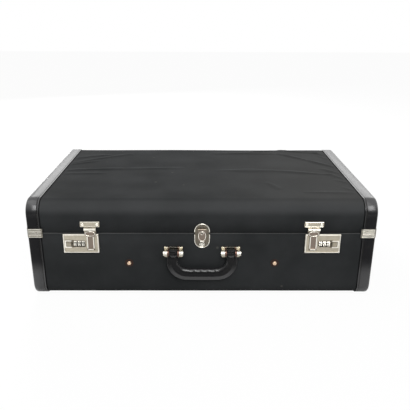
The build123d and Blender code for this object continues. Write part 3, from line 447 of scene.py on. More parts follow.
def webbing():
    material, point = new_finish("strap_webbing")
    threads = weave(material, point, 1.1 * mm)
    patches = point.clouds(30 * mm, detail=4.0)
    color = threads.rise(0.2, 0.8).blend((0.03, 0.026, 0.022, 1), (0.1, 0.088, 0.075, 1))
    color = (patches.rise(0.5, 0.8) * 0.5).blend(color, (0.16, 0.14, 0.11, 1))
    return surface(material, color, 0.75 + patches * 0.1, threads, 0.35 * mm, **{"Sheen Weight": 0.25})


board = fibreboard()
lining = lining_cloth()
strap_webbing = webbing()
print("board, lining and webbing are ready")

# %% [markdown]
# ## Finishes for the solids that stay
# Most fittings keep their CAD shape. Each takes the finish of its material slot, except the fittings in
# front: these have finishes of their own, chosen by how their nodes' names start.

# %% Give each solid its finish
finish_of_slot = {
    "nickel": nickel,
    "steel": steel,
    "copper": copper,
    "dial": bright_nickel,
    "mouth_strip": aluminium,
    "board": board,
    "lining": lining,
    "cloth": black_cloth,
    "leather": binding_leather,
    "strap": strap_webbing,
    "washer": washer_leather,
}
finish_of_node = {
    "catch_rivets": bright_nickel,
    "handle_collars": collar_brass,
    "handle_bracket": bracket_nickel,
    "lock_plate": lock_nickel,
    "slide_button": button_nickel,
    "hasp_left": hasp_nickel,
    "hasp_right": hasp_nickel,
    "catch_plate": catch_nickel,
    "key_lock_plate": key_nickel,
    "key_catch_plate": key_nickel,
    "key_hasp": key_hasp_nickel,
    "key_plug": bright_nickel,
    "lid_clips": clip_nickel,
    "base_clips": clip_nickel,
}
for subpart in frame["record"]["subparts"]:
    solid = nodes[subpart["node"]]
    finish = finish_of_slot[subpart["material_slot"]]
    for start, closer in finish_of_node.items():
        if solid.name.startswith(start):
            finish = closer
    solid.data.materials.clear()
    solid.data.materials.append(finish)

# %% [markdown]
# ## From a bmesh to a piece
# Every new piece is modelled with bmesh operators, in its final place, so that its object stays at the
# origin. One helper closes the work: it recalculates the normals, names the piece, gives it a finish and
# the body that it moves with, and hides the solids that it stands for. The others here add a modifier or a
# cylinder, round off edges or corners, and close the open ends of a swept shape.


# %% Helpers for every piece
def new_piece(name, bm, finish, body, stands_for=(), sharp=40):
    """Makes a bmesh a piece that rides on a body. Edges sharper than this many degrees stay crisp."""
    bmesh.ops.recalc_face_normals(bm, faces=bm.faces)
    mesh = bpy.data.meshes.new(name)
    bm.to_mesh(mesh)
    bm.free()
    mesh.shade_smooth()
    mesh.set_sharp_from_angle(angle=math.radians(sharp))
    mesh.materials.append(finish)
    piece = new_object(name, mesh)
    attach(piece, body)
    if stands_for:
        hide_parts(*stands_for)
    print(name, "has", len(mesh.polygons), "faces")
    return piece


def add_modifier(piece, kind, **settings):
    """Adds a modifier with these settings."""
    modifier = piece.modifiers.new(kind.lower(), kind)
    for name, value in settings.items():
        setattr(modifier, name, value)


def round_off(bm, geom, offset, segments, affect="EDGES"):
    """Rounds edges, or the corners of a flat outline."""
    bmesh.ops.bevel(
        bm,
        geom=geom,
        offset=offset,
        segments=segments,
        affect=affect,
        offset_type="OFFSET",
        profile=0.5,
        material=-1,
    )


def add_cylinder(bm, place, radius, length, segments, cap_ends=True):
    """A cylinder along the Z axis of this place."""
    radii = {"radius1": radius, "radius2": radius}
    bmesh.ops.create_cone(bm, cap_ends=cap_ends, segments=segments, depth=length, matrix=place, **radii)


def close_ends(bm):
    """Fills the open ends of a swept shape."""
    bmesh.ops.holes_fill(bm, edges=[e for e in bm.edges if e.is_boundary], sides=0)


# %% [markdown]
# ## The cloth covers
# A cover is one sheet drawn over a box with two rounded edges. A cube takes that shape when its long
# edges are bevelled and its open side is deleted. Cuts at even steps give it a grid that can take folds,
# and a solidify modifier its thickness. The linings are made by the same function.
# On the real lid the cloth has come loose from the board and lies in long shallow folds, mostly along the
# length, which fan out where the binding holds them at the right. Each fold is a line with a height and a
# width, and the sheet is pushed out along its normals near that line.


# %% Shape a sheet that is drawn over a box
def wrapped_box(low, high, rounding, step, upward):
    """A box with rounded long edges, open below (upward) or above, and cut into a grid."""
    bm = bmesh.new()
    size = high - low
    scale = Matrix.Diagonal((*size, 1))
    bmesh.ops.create_cube(bm, size=1, matrix=Matrix.Translation((low + high) / 2) @ scale)
    closed_z, open_z = (high.z, low.z) if upward else (low.z, high.z)
    long_edges = [e for e in bm.edges if all(abs(v.co.z - closed_z) < mm for v in e.verts)]
    long_edges = [e for e in long_edges if abs(e.verts[0].co.x - e.verts[1].co.x) > mm]
    round_off(bm, long_edges, rounding, 14)
    mouth = [f for f in bm.faces if all(abs(v.co.z - open_z) < 0.01 * mm for v in f.verts)]
    bmesh.ops.delete(bm, geom=mouth, context="FACES")
    for axis, clear in enumerate((0.0, rounding, rounding)):
        normal = Vector([1.0 if n == axis else 0.0 for n in range(3)])
        count = int(size[axis] / step)
        for number in range(1, count):
            place = low + size * (number / count)
            from_side = min(place[axis] - low[axis], high[axis] - place[axis])
            if from_side > clear:
                geom = [*bm.verts, *bm.edges, *bm.faces]
                bmesh.ops.bisect_plane(bm, geom=geom, plane_co=place, plane_no=normal, dist=0.2 * mm)
    return bm


def map_flat(bm):
    """Gives a mesh a UV map in metres, each face seen along the axis that it faces most."""
    layer = bm.loops.layers.uv.new("UVMap")
    for face in bm.faces:
        facing = [abs(n) for n in face.normal]
        most = facing.index(max(facing))
        u, v = ((1, 2), (0, 2), (0, 1))[most]
        for loop in face.loops:
            loop[layer].uv = (loop.vert.co[u], loop.vert.co[v])


def is_behind(point, low, high):
    """Whether a point of the front lies behind a plate, a millimetre or more inside its outline."""
    beside = low.x + mm < point.x < high.x - mm
    return point.y < 0 and beside and low.z + mm < point.z < high.z - mm


def drawn_sheet(name, node, body, look, rounding, step, thickness, push, behind=()):
    """A sheet over its board, in the place of its solid: its outer face, pushed out and made solid.

    Look is its finish and its slot, and the slot is not used. Push says how far out each vertex goes.
    Faces that lie wholly behind the plates that are named are deleted.
    """
    low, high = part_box(node)
    bm = wrapped_box(low, high, rounding, step, upward=body == "lid")
    bm.normal_update()
    for plate in behind:
        cut_low, cut_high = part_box(plate)
        covered = [f for f in bm.faces if all(is_behind(v.co, cut_low, cut_high) for v in f.verts)]
        bmesh.ops.delete(bm, geom=covered, context="FACES")
    area = sum(face.calc_area() for face in bm.faces)
    for vertex in bm.verts:
        vertex.co = vertex.co + vertex.normal * push(vertex)
    map_flat(bm)
    finish, slot = look
    sheet = new_piece(name, bm, finish, body, [node], sharp=80)
    add_modifier(sheet, "SOLIDIFY", thickness=thickness, offset=-1.0)


print("sheets can be shaped")


# %% Push folds into a sheet
class Fold:
    """A long shallow fold in the lid's cloth, from one point of its top to another, in millimetres."""

    def __init__(self, start, end, rise, width):
        self.start = Vector(start) * mm
        self.end = Vector(end) * mm
        self.rise = rise * mm
        self.width = width * mm

    def height(self, point):
        """How far this fold lifts the cloth at a point of the top."""
        along = self.end - self.start
        share = (point - self.start).dot(along) / along.length_squared
        nearest = self.start + along * min(max(share, 0.0), 1.0)
        wander = 6 * mm * noise.noise(Vector((point.x * 14, point.y * 3, self.start.y * 50)))
        away = abs((point - nearest).length + wander) / self.width
        fade = math.sin(math.pi * min(max(share * 0.9 + 0.05, 0.0), 1.0)) ** 0.5
        return self.rise * fade * math.exp(-away * away)


lid_folds = [
    Fold((28, 147), (184, 144), 1.75, 6.3),
    Fold((184, 144), (239, 90), 3.75, 4.9),
    Fold((239, 90), (297, 27), 4, 4.9),
    Fold((190, 178), (296, 142), 2.5, 4.9),
    Fold((255, 172), (300, 122), 3, 4.2),
    Fold((277, 132), (300, 84), 2.5, 4.2),
    Fold((33, 2), (153, 0), 1.5, 7),
    Fold((153, 0), (290, -30), 2.25, 6.3),
    Fold((262, 17), (300, -26), 2.25, 4.9),
    Fold((268, -20), (300, -66), 2, 4.9),
    Fold((275, -63), (300, -92), 1.75, 4.2),
    Fold((278, -111), (300, -138), 1.5, 4.2),
    Fold((132, -80), (152, -124), 1.5, 4.9),
    Fold((200, -141), (296, -146), 1.25, 5.6),
    Fold((98, 153), (180, 176), 1.75, 5.6),
    Fold((-298, 99), (-222, 130), 2, 5.6),
    Fold((-298, 44), (-240, 76), 1.75, 5.6),
    Fold((-300, 2), (-180, 14), 2.25, 6.3),
    Fold((-180, 14), (-43, 20), 1.5, 7.7),
    Fold((-298, 57), (-174, 139), 1.75, 6.3),
    Fold((-300, -24), (-207, -18), 1.5, 5.6),
]


def lift_cloth(point):
    """How far the lid's cloth stands off its board at a point of the top."""
    place = Vector((point.x, point.y))
    folds = sum(fold.height(place) for fold in lid_folds)
    slack = 0.7 * mm * noise.noise(Vector((point.x * 7, point.y * 20, 1.7)))
    return folds + slack


print(len(lid_folds), "folds lie in the lid's cloth")

# %% [markdown]
# The lid's cloth has all the folds. The base's is nearly flat, and two things in its front matter. The
# faces that lie wholly behind a latch's plate are deleted, which opens a strip behind the dials' lower
# halves, and the cloth bulges a little over the front of the key lock's case. Near the bindings both
# sheets lie flat. The base's cloth is turned in along the seam, where its edge shows as a thin roll,
# painted paler as a painted highlight.


# %% Cover the base and the lid
flat_from = 290 * mm
flat_within = 12 * mm
key_case_half = 26 * mm
key_case_foot = 90 * mm
base_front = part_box("base_cover")[0].y


def loosely(here, push):
    """A push with the cloth's own unevenness, which fades to nothing near the bindings."""
    loose = 1 - min(max(abs(here.x) - flat_from, 0.0) / flat_within, 1.0)
    return (push + 0.1 * mm * noise.noise(here * 25)) * loose


def fold_lid(vertex):
    """How far the lid's cloth is pushed out by its folds."""
    return loosely(vertex.co, lift_cloth(vertex.co) * max(vertex.normal.z, 0.0))


def bulge_base(vertex):
    """How far the base's cloth is pushed out, over the key lock's case."""
    here = vertex.co
    on_case = here.y < base_front + mm and here.z > key_case_foot
    return loosely(here, on_case * 0.6 * mm * max(0.0, 1 - abs(here.x) / key_case_half))


def turned_edge():
    """The roll of cloth along the seam, in front and at the back, between the bindings."""
    low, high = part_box("base_cover")
    bm = bmesh.new()
    length = 601 * mm
    radius = 0.75 * mm
    for y in (low.y + 0.2 * mm, high.y - 0.2 * mm):
        lying = Matrix.Translation((0, y, high.z - radius)) @ Matrix.Rotation(math.pi / 2, 4, "Y")
        add_cylinder(bm, lying, radius, length, 12)
    bm.normal_update()
    map_flat(bm)
    new_piece("base_cloth_edge", bm, seam_highlight_cloth, "base")


turned_edge()
cover = (black_cloth, "cloth")
drawn_sheet("lid_cloth", "lid_cover", "lid", cover, 26.4 * mm, 3 * mm, 0.7 * mm, fold_lid)
plates = ("lock_plate_left", "lock_plate_right")
drawn_sheet("base_cloth", "base_cover", "base", cover, 22.4 * mm, 8 * mm, 0.7 * mm, bulge_base, plates)

# %% [markdown]
# ## A sweep round the case
# Bindings, stitches and straps all run the same way: from the seam in front, round a corner, over the top
# or under the bottom, and back to the seam. A section's ring of edges is carried along that way with the
# spin operator. A spin without an angle makes a straight stretch, and one about a corner's middle a bend.


# %% Carry a ring of edges round the case
def carry(bm, ring, steps, **turn):
    """Carries a ring of edges along one stretch, and gives back the ring at its end."""
    made = bmesh.ops.spin(bm, geom=ring, steps=steps, **turn)
    return made["geom_last"]


def carry_straight(bm, ring, steps, step):
    """Carries a ring of edges straight on, by the same step each time."""
    return carry(bm, ring, steps, angle=0.0, axis=(1, 0, 0), cent=(0, 0, 0), dvec=step)


def sweep_round(bm, low, high, corner, upward):
    """Carries a flat section from the seam in front round the lid (upward) or the base, to the back."""
    bmesh.ops.delete(bm, geom=list(bm.faces), context="FACES_ONLY")
    ring = [*bm.verts, *bm.edges]
    side = 1.0 if upward else -1.0
    rise = (high.z - low.z) - corner
    depth = high.y - low.y - 2 * corner
    turn_z = high.z - corner if upward else low.z + corner
    bend = {"steps": 12, "angle": -side * math.pi / 2, "axis": (1, 0, 0)}
    steps = max(2, int(rise / (6 * mm)))
    ring = carry_straight(bm, ring, steps, (0, 0, side * rise / steps))
    ring = carry(bm, ring, cent=(0, low.y + corner, turn_z), **bend)
    ring = carry_straight(bm, ring, 60, (0, depth / 60, 0))
    ring = carry(bm, ring, cent=(0, high.y - corner, turn_z), **bend)
    carry_straight(bm, ring, steps, (0, 0, -side * rise / steps))
    bmesh.ops.remove_doubles(bm, verts=bm.verts, dist=0.02 * mm)
    close_ends(bm)


print("a ring can be carried round the case")

# %% [markdown]
# ## The bindings
# Each end of the base and of the lid is bound with a strip of leather, folded over the edge of the end and
# stitched along both its sides. Its section is an L of six corners, with a groove near each side where the
# stitches pull it down. The outer corner and the cut edges are rounded with a vertex bevel.


# %% Make the bindings
binding_thickness = 1.6 * mm
band_width = 24.5 * mm
flange_width = 23.7 * mm
groove_from = 2.6 * mm
groove_width = 1.3 * mm
groove_depth = 0.5 * mm


def far_end(low, high, side):
    """How far a box reaches on its outer side."""
    return abs(high.x) if side > 0 else abs(low.x)


def binding_section(bm, side, low, high, seam_z):
    """The L-shaped section of a binding, at the seam in front."""
    out = far_end(low, high, side)
    near = out - band_width
    corners = [
        (near, binding_thickness),
        (near, 0.0),
        (near + groove_from, 0.0),
        (near + groove_from + groove_width / 2, groove_depth),
        (near + groove_from + groove_width, 0.0),
        (out, 0.0),
        (out, flange_width - groove_from - groove_width),
        (out - groove_depth, flange_width - groove_from - groove_width / 2),
        (out, flange_width - groove_from),
        (out, flange_width),
        (out - binding_thickness, flange_width),
        (out - binding_thickness, binding_thickness),
    ]
    verts = [bm.verts.new((side * x, low.y + depth, seam_z)) for x, depth in corners]
    bm.faces.new(verts)
    outer, inner = verts[5], verts[11]
    cut_edges = [verts[0], verts[1], verts[9], verts[10]]
    round_off(bm, [outer], 5 * mm, 6, "VERTICES")
    round_off(bm, [inner], 3.3 * mm, 6, "VERTICES")
    round_off(bm, cut_edges, 0.6 * mm, 3, "VERTICES")


def binding(body, side_name, side, corner):
    """The binding of one end of the base or the lid, in the place of its solid."""
    upward = body == "lid"
    node = f"{body}_binding_{side_name}"
    low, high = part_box(node)
    bm = bmesh.new()
    binding_section(bm, side, low, high, low.z if upward else high.z)
    sweep_round(bm, low, high, corner, upward)
    name = f"{body}_leather_{side_name}"
    new_piece(name, bm, binding_leather, body, [node], sharp=50)


bound_ends = [
    (body, side_name, side, corner)
    for side_name, side in (("left", -1.0), ("right", 1.0))
    for body, corner in (("lid", 28 * mm), ("base", 24 * mm))
]
for bound_end in bound_ends:
    binding(*bound_end)

# %% [markdown]
# ## The grip
# The grip is leather sewn over a stiff core. Its solid has the right outline, with four waves for the
# fingers, but crisp edges. A voxel remesh of a copy and some smoothing soften those. Then each point is
# moved in until the section is domed, full in the middle and thin at both outlines. Two search trees hold
# the outlines, and how far a point lies from the one towards the other also places the leather's painted
# reflection of the floor, its painted highlights along the outlines and its gloss.


# %% Soften the grip
def soft_copy(name, node, voxel, rounds):
    """A bmesh with a solid's shape, remeshed into even faces and smoothed."""
    copy = new_object(name, nodes[node].data.copy())
    bm = bmesh.new()
    bm.from_mesh(copy.data)
    bmesh.ops.remove_doubles(bm, verts=bm.verts, dist=0.001 * mm)
    bm.to_mesh(copy.data)
    bm.free()
    add_modifier(copy, "REMESH", mode="VOXEL", voxel_size=voxel)
    add_modifier(copy, "SMOOTH", factor=0.5, iterations=rounds)
    graph = bpy.context.evaluated_depsgraph_get()
    bm = bmesh.new()
    bm.from_mesh(copy.evaluated_get(graph).to_mesh())
    bpy.data.objects.remove(copy)
    return bm


def outline_tree(places):
    """A search tree of an outline's points, as seen from the front."""
    tree = KDTree(len(places))
    for number, place in enumerate(places):
        tree.insert((place.x, 0, place.z), number)
    tree.balance()
    return tree


def dome_section(bm, middle, edge, thick, reach):
    """Makes flat faces domed: as thin as edge at the outlines, and thick once reach inside them.

    Middle is the place that the shape bends round. Edge and thick are half thicknesses. Each point also
    keeps its share of the way from the outer outline to the inner one.
    """
    bm.normal_update()
    rim = [v for v in bm.verts if abs(v.co.y - middle.y) < edge * 0.8]
    outer = outline_tree([v.co for v in rim if v.normal.dot(v.co - middle) > 0])
    inner = outline_tree([v.co for v in rim if v.normal.dot(v.co - middle) <= 0])
    share_layer = bm.verts.layers.float.new("inner_share")
    for vertex in bm.verts:
        seen = (vertex.co.x, 0, vertex.co.z)
        from_outer, from_inner = outer.find(seen)[2], inner.find(seen)[2]
        vertex[share_layer] = from_outer / max(from_outer + from_inner, 0.01 * mm)
        share = 1 - min(min(from_outer, from_inner) / reach, 1.0)
        allowed = edge + (thick - edge) * math.sqrt(1 - share * share)
        out = vertex.co.y - middle.y
        vertex.co.y = middle.y + max(-allowed, min(allowed, out))


grip = soft_copy("grip_copy", "handle_grip", 1.1 * mm, 8)
grip_low, grip_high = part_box("handle_grip")
finger_room = Vector((0, (grip_low.y + grip_high.y) / 2, 86 * mm))
dome_section(grip, finger_room, edge=1.6 * mm, thick=7.5 * mm, reach=10.5 * mm)
every_axis = {"use_axis_x": True, "use_axis_y": True, "use_axis_z": True}
bmesh.ops.smooth_vert(grip, verts=grip.verts, factor=0.5, **every_axis)
new_piece("grip_cover", grip, grip_leather, "handle", ["handle_grip"], sharp=80)

# %% [markdown]
# ## Stitches
# Each binding is sewn down with a row of stitches in either groove. A stitch is a small capsule, an
# icosphere drawn out along the seam. A girth is the way round the case at one depth: given how far along
# it a stitch lies, it says where that is in Y and Z and how far the way has turned by then.


# %% The way round the case
class Girth:
    """The way up the front, over the top and down the back, or the same below, at some depth."""

    def __init__(self, low, high, corner, upward, depth):
        self.corner = max(corner - depth, 1 * mm)
        self.side = 1.0 if upward else -1.0
        self.seam = low.z if upward else high.z
        self.front = low.y + depth
        self.rise = high.z - low.z - depth - self.corner
        self.run = high.y - low.y - 2 * depth - 2 * self.corner
        self.bend = self.corner * math.pi / 2
        self.length = 2 * self.rise + 2 * self.bend + self.run

    def place(self, along):
        """The Y and Z at this length along the way, and the angle that it has turned by there."""
        if along > self.length / 2:
            y, z, turned = self.place(self.length - along)
            return 2 * self.front + 2 * self.corner + self.run - y, z, math.pi - turned
        level = self.seam + self.side * self.rise
        if along <= self.rise:
            return self.front, self.seam + self.side * along, 0.0
        if along <= self.rise + self.bend:
            angle = (along - self.rise) / self.corner
            y = self.front + self.corner * (1 - math.cos(angle))
            return y, level + self.side * self.corner * math.sin(angle), angle
        y = self.front + self.corner + along - self.rise - self.bend
        return y, level + self.side * self.corner, math.pi / 2


print("the way round the case can be measured")


# %% Sew the bindings down
def sewing_thread():
    material, point = new_finish("sewing_thread")
    fibres = point.clouds(0.6 * mm, detail=3.0)
    color = fibres.blend((0.014, 0.013, 0.012, 1), (0.05, 0.047, 0.042, 1))
    return surface(material, color, 0.55 + fibres * 0.2, fibres, 0.05 * mm)


thread = sewing_thread()
stitch_pitch = 4.2 * mm
stitch_half = 1.5 * mm
stitch_radius = 0.42 * mm


def sew(body, side_name, side, corner):
    """Two rows of stitches on one binding: on its band round the case, and on its flange at the end."""
    low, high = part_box(f"{body}_binding_{side_name}")
    out = far_end(low, high, side)
    groove = groove_from + groove_width / 2
    sunk = groove_depth * 0.6
    bm = bmesh.new()
    for x, depth in ((out - band_width + groove, sunk), (out - sunk, flange_width - groove)):
        way = Girth(low, high, corner, body == "lid", depth)
        count = int((way.length - 4 * mm) / stitch_pitch)
        for number in range(count):
            y, z, turned = way.place(way.length * (number + 0.5) / count)
            upright = Matrix.Rotation(-way.side * turned, 4, "X")
            shape = Matrix.Diagonal((stitch_radius, stitch_radius, stitch_half, 1))
            matrix = Matrix.Translation((side * x, y, z)) @ upright @ shape
            bmesh.ops.create_icosphere(bm, subdivisions=1, radius=1.0, matrix=matrix)
    new_piece(f"{body}_stitches_{side_name}", bm, thread, body, sharp=80)


for bound_end in bound_ends:
    sew(*bound_end)

# %% [markdown]
# ## The inside
# The linings are sheets of thin cloth glued into the base and the lid. Each is shaped as a cover is, but
# pushed inwards, in shallow puckers. Two straps of webbing run down the front wall, across the bottom and
# up the back, held by studs that go through discs of leather outside.


# %% Line the base and the lid
def pucker(vertex):
    """How far the lining is pushed, always inwards."""
    here = vertex.co
    share = 0.5 + 0.5 * noise.noise(Vector((here.x * 14, here.y * 9, here.z * 9)))
    return -(0.2 + 0.7 * share) * mm


thin = (lining, "lining")
drawn_sheet("base_lining_cloth", "base_lining", "base", thin, 16.6 * mm, 9 * mm, 0.5 * mm, pucker)
drawn_sheet("lid_lining_cloth", "lid_lining", "lid", thin, 20.6 * mm, 9 * mm, 0.5 * mm, pucker)


# %% Lay the straps and cut their leather discs
def webbing_strap(name, node):
    """A strap in the place of its solid, with rounded edges, carried down, across and up again."""
    low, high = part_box(node)
    thick = 1.4 * mm
    bm = bmesh.new()
    corners = [(low.x, 0.0), (high.x, 0.0), (high.x, thick), (low.x, thick)]
    section = bm.faces.new([bm.verts.new((x, low.y + depth, high.z)) for x, depth in corners])
    round_off(bm, list(section.verts), 0.5 * mm, 3, "VERTICES")
    sweep_round(bm, low, high, 15.8 * mm, upward=False)
    bm.normal_update()
    for vertex in bm.verts:
        lift = 0.5 + 0.5 * noise.noise(Vector((low.x, vertex.co.y * 22, vertex.co.z * 22)))
        vertex.co.y *= 1 - 0.002 * lift
        vertex.co.z += 0.25 * mm * lift
    map_flat(bm)
    new_piece(name, bm, strap_webbing, "base", [node], sharp=60)


def leather_discs():
    """The discs under the studs, at both sides of the front and the back, with rounded rims."""
    low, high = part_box("stud_washers")
    across, height, radius, thick = 138.3 * mm, 71 * mm, 8 * mm, 1 * mm
    bm = bmesh.new()
    for x in (-across, across):
        for y in (low.y, high.y - thick):
            lying = Matrix.Translation((x, y + thick / 2, height)) @ Matrix.Rotation(math.pi / 2, 4, "X")
            add_cylinder(bm, lying, radius, thick, 40)
    rims = [e for e in bm.edges if len(e.link_faces[0].verts) != len(e.link_faces[1].verts)]
    round_off(bm, rims, 0.35 * mm, 3)
    new_piece("leather_washers", bm, washer_leather, "base", ["stud_washers"])


for side_name in ("left", "right"):
    webbing_strap(f"webbing_strap_{side_name}", f"packing_strap_{side_name}")
leather_discs()

# %% [markdown]
# ## Beads, rings and rivets on the fittings
# The stamped fittings have rolled beads along their edges, which catch the light. Rods, rings and domes
# make them: a rod is a cylinder with a ball at either end, a ring is a small circle spun about an axis,
# and a dome is a flattened ball. All stand at some height above the cloth of the front, in millimetres.


# %% Rods, rings and domes
def on_front(x, z, proud):
    """A point this far above the cloth of the front."""
    return Vector((x, -(cloth_face + proud) * mm, z))


def add_rod(bm, start, end, radius):
    """A rod with round ends between two points."""
    along = end - start
    turned = along.to_track_quat("Z", "Y").to_matrix().to_4x4()
    middle = Matrix.Translation((start + end) / 2) @ turned
    add_cylinder(bm, middle, radius, along.length, 12, cap_ends=False)
    for place in (start, end):
        ball = Matrix.Translation(place) @ turned
        bmesh.ops.create_uvsphere(bm, u_segments=12, v_segments=8, radius=radius, matrix=ball)


def wire_circle(bm, place, radius):
    """The section of a round wire, as a level ring of edges."""
    place = Matrix.Translation(place)
    verts = bmesh.ops.create_circle(bm, segments=10, radius=radius, matrix=place)["verts"]
    return [*verts, *dict.fromkeys(e for v in verts for e in v.link_edges)]


def add_ring(bm, centre, wide, high, radius):
    """An oval ring of round wire that faces forwards. It is spun a metre wide and then drawn in."""
    circle = wire_circle(bm, centre + Vector((1, 0, 0)), radius)
    round_trip = {"steps": 40, "angle": 2 * math.pi, "use_merge": True}
    bmesh.ops.spin(bm, geom=circle, axis=(0, 1, 0), cent=centre, **round_trip)
    for vertex in bm.verts:
        arm = vertex.co - centre
        if abs(arm.length - 1) < 0.1:
            flat = Vector((arm.x, 0, arm.z))
            outward = flat.normalized()
            oval = Vector((outward.x * wide, arm.y, outward.z * high))
            vertex.co = centre + oval + outward * (flat.length - 1)


def add_dome(bm, place, radius, rise):
    """A rivet's head: a ball flattened towards the face that it sits on."""
    shape = Matrix.Translation(place) @ Matrix.Diagonal((radius, rise, radius, 1))
    bmesh.ops.create_uvsphere(bm, u_segments=16, v_segments=10, radius=1.0, matrix=shape)


def fitting(name, bm, body, finish=bright_nickel):
    """Makes beads, rings or rivets a piece."""
    new_piece(name, bm, finish, body)


print("beads can be made")

# %% Bead the latches
pin_inset = 1.7 * mm
bar_inset = 1.4 * mm
for side_name in ("left", "right"):
    low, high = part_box(f"lock_plate_{side_name}")
    pins = bmesh.new()
    for x in (low.x + pin_inset, high.x - pin_inset):
        for z in (low.z + pin_inset, high.z - pin_inset):
            add_dome(pins, on_front(x, z, 2.9), 1.5 * mm, 0.7 * mm)
    fitting(f"lock_corner_pins_{side_name}", pins, "base")

    low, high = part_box(f"catch_plate_{side_name}")
    beads = bmesh.new()
    for drop, radius in ((1.0 * mm, 0.95 * mm), (9.9 * mm, 0.7 * mm)):
        ends = [on_front(x, high.z - drop, 1.5) for x in (low.x + bar_inset, high.x - bar_inset)]
        add_rod(beads, *ends, radius)
    fitting(f"catch_beads_{side_name}", beads, "lid")

    low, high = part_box(f"hasp_{side_name}")
    middle = (low.x + high.x) / 2
    rim = bmesh.new()
    add_ring(rim, on_front(middle, 132.3 * mm, 2.9), 9.3 * mm, 4.7 * mm, 0.75 * mm)
    fitting(f"hasp_rim_{side_name}", rim, f"hasp_{side_name}_flap")
    knob = bmesh.new()
    add_dome(knob, on_front(middle, 137.6 * mm, 3.0), 2.6 * mm, 1.4 * mm)
    fitting(f"hasp_knob_{side_name}", knob, f"hasp_{side_name}_flap")

# %% Bead the clips
for body, heights in (("lid", (1.0, 3.6, 7.2)), ("base", (0.9, 4.2, 7.4))):
    low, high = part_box(f"{body}_clips")
    span = (high.x - 26.6 * mm, high.x - 4.5 * mm)
    beads = bmesh.new()
    for side in (-1.0, 1.0):
        for height in heights:
            for y in (low.y + 0.3 * mm, high.y - 0.3 * mm):
                ends = [Vector((side * x, y, low.z + height * mm)) for x in span]
                add_rod(beads, *ends, 0.62 * mm)
    fitting(f"{body}_clips_beads", beads, body)


# %% Bead the key lock
def bead_half_plate(name, node, body, upward):
    """A bead along the rounded edge of one half of the key lock's plate."""
    low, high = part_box(node)
    side = 1 if upward else -1
    half = (high.x - low.x) / 2
    seam_z = (low.z if upward else high.z) + side * 2.2 * mm
    turn_z = high.z - half if upward else low.z + half
    start = on_front(1.1 * mm - half, seam_z, 1.3)
    bm = bmesh.new()
    ring = wire_circle(bm, start, 0.9 * mm)
    ring = carry_straight(bm, ring, 1, (0, 0, turn_z - seam_z))
    ring = carry(bm, ring, 24, angle=math.pi, axis=(0, side, 0), cent=(0, start.y, turn_z))
    carry_straight(bm, ring, 1, (0, 0, seam_z - turn_z))
    close_ends(bm)
    fitting(name, bm, body)


def level_rod(bm, half, z, proud, radius):
    """A level rod in the middle of the front."""
    add_rod(bm, on_front(-half, z, proud), on_front(half, z, proud), radius)


bead_half_plate("key_bead_lower", "key_lock_plate", "base", False)
bead_half_plate("key_bead_upper", "key_catch_plate", "lid", True)

low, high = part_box("key_plug")
plug_z = (low.z + high.z) / 2
plug_ring = bmesh.new()
add_ring(plug_ring, on_front(0, plug_z, 1.4), 4.6 * mm, 4.6 * mm, 0.6 * mm)
add_dome(plug_ring, on_front(0, plug_z - 5.9 * mm, 1.3), 1.1 * mm, 0.8 * mm)
fitting("key_plug_ring", plug_ring, "base")

rivet_z = 133 * mm
flap_rings = bmesh.new()
add_ring(flap_rings, on_front(0, 128 * mm, 3.4), 6.8 * mm, 9.4 * mm, 0.7 * mm)
add_ring(flap_rings, on_front(0, rivet_z, 3.4), 2.4 * mm, 2.4 * mm, 0.5 * mm)
level_rod(flap_rings, 3.6 * mm, 118.6 * mm, 5.2, 0.8 * mm)
fitting("key_flap_rings", flap_rings, "key_hasp_flap")
rivet = bmesh.new()
add_dome(rivet, on_front(0, rivet_z, 3.3), 1.3 * mm, 0.5 * mm)
fitting("key_flap_rivet", rivet, "key_hasp_flap", shaded_nickel)
# Painted shade: a dark rod in the gap between the key catch's knuckles.
slot = bmesh.new()
level_rod(slot, 2.8 * mm, 144.6 * mm, 1.0, 0.9 * mm)
fitting("key_plate_slot_shade", slot, "lid", shaded_nickel)

# %% [markdown]
# ## Numbers on the dials
# Each wheel has the numbers 0 to 9 round it. They are Blender's own letter shapes, made into flat meshes,
# stood upright on the wheel's front and then turned about its axle, a tenth of a turn at a time.


# %% Number the dials
def number_ink():
    material, point = new_finish("number_ink")
    worn = point.clouds(0.7 * mm, detail=3.0)
    color = worn.rise(0.5, 0.8).blend((0.02, 0.018, 0.016, 1), (0.1, 0.09, 0.075, 1))
    return surface(material, color, 0.5 + worn * 0.2, worn, 0.02 * mm)


ink = number_ink()


def flat_number(number, height):
    """A flat mesh of one number."""
    data = bpy.data.curves.new("number", "FONT")
    data.body = str(number)
    data.size = height
    data.align_x = "CENTER"
    data.align_y = "CENTER"
    data.extrude = 0.08 * mm
    data.resolution_u = 3
    letter = new_object("number", data)
    graph = bpy.context.evaluated_depsgraph_get()
    mesh = bpy.data.meshes.new_from_object(letter.evaluated_get(graph))
    bpy.data.objects.remove(letter)
    return mesh


numbers = [flat_number(number, 4.4 * mm) for number in range(10)]
tenth = math.radians(36)
for side_name in ("left", "right"):
    for place in (1, 2, 3):
        dial = f"dial_{side_name}_{place}"
        low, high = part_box(dial)
        axle = Matrix.Translation((low + high) / 2)
        radius = (high.z - low.z) / 2
        upright = Matrix.Translation((0, -radius, 0)) @ Matrix.Rotation(math.pi / 2, 4, "X")
        marks = bmesh.new()
        for number, mesh in enumerate(numbers):
            first = len(marks.verts)
            marks.from_mesh(mesh)
            marks.verts.ensure_lookup_table()
            moved = axle @ Matrix.Rotation(tenth * (number + place), 4, "X") @ upright
            bmesh.ops.transform(marks, matrix=moved, verts=marks.verts[first:])
        new_piece(f"numbers_{side_name}_{place}", marks, ink, f"{dial}_wheel")

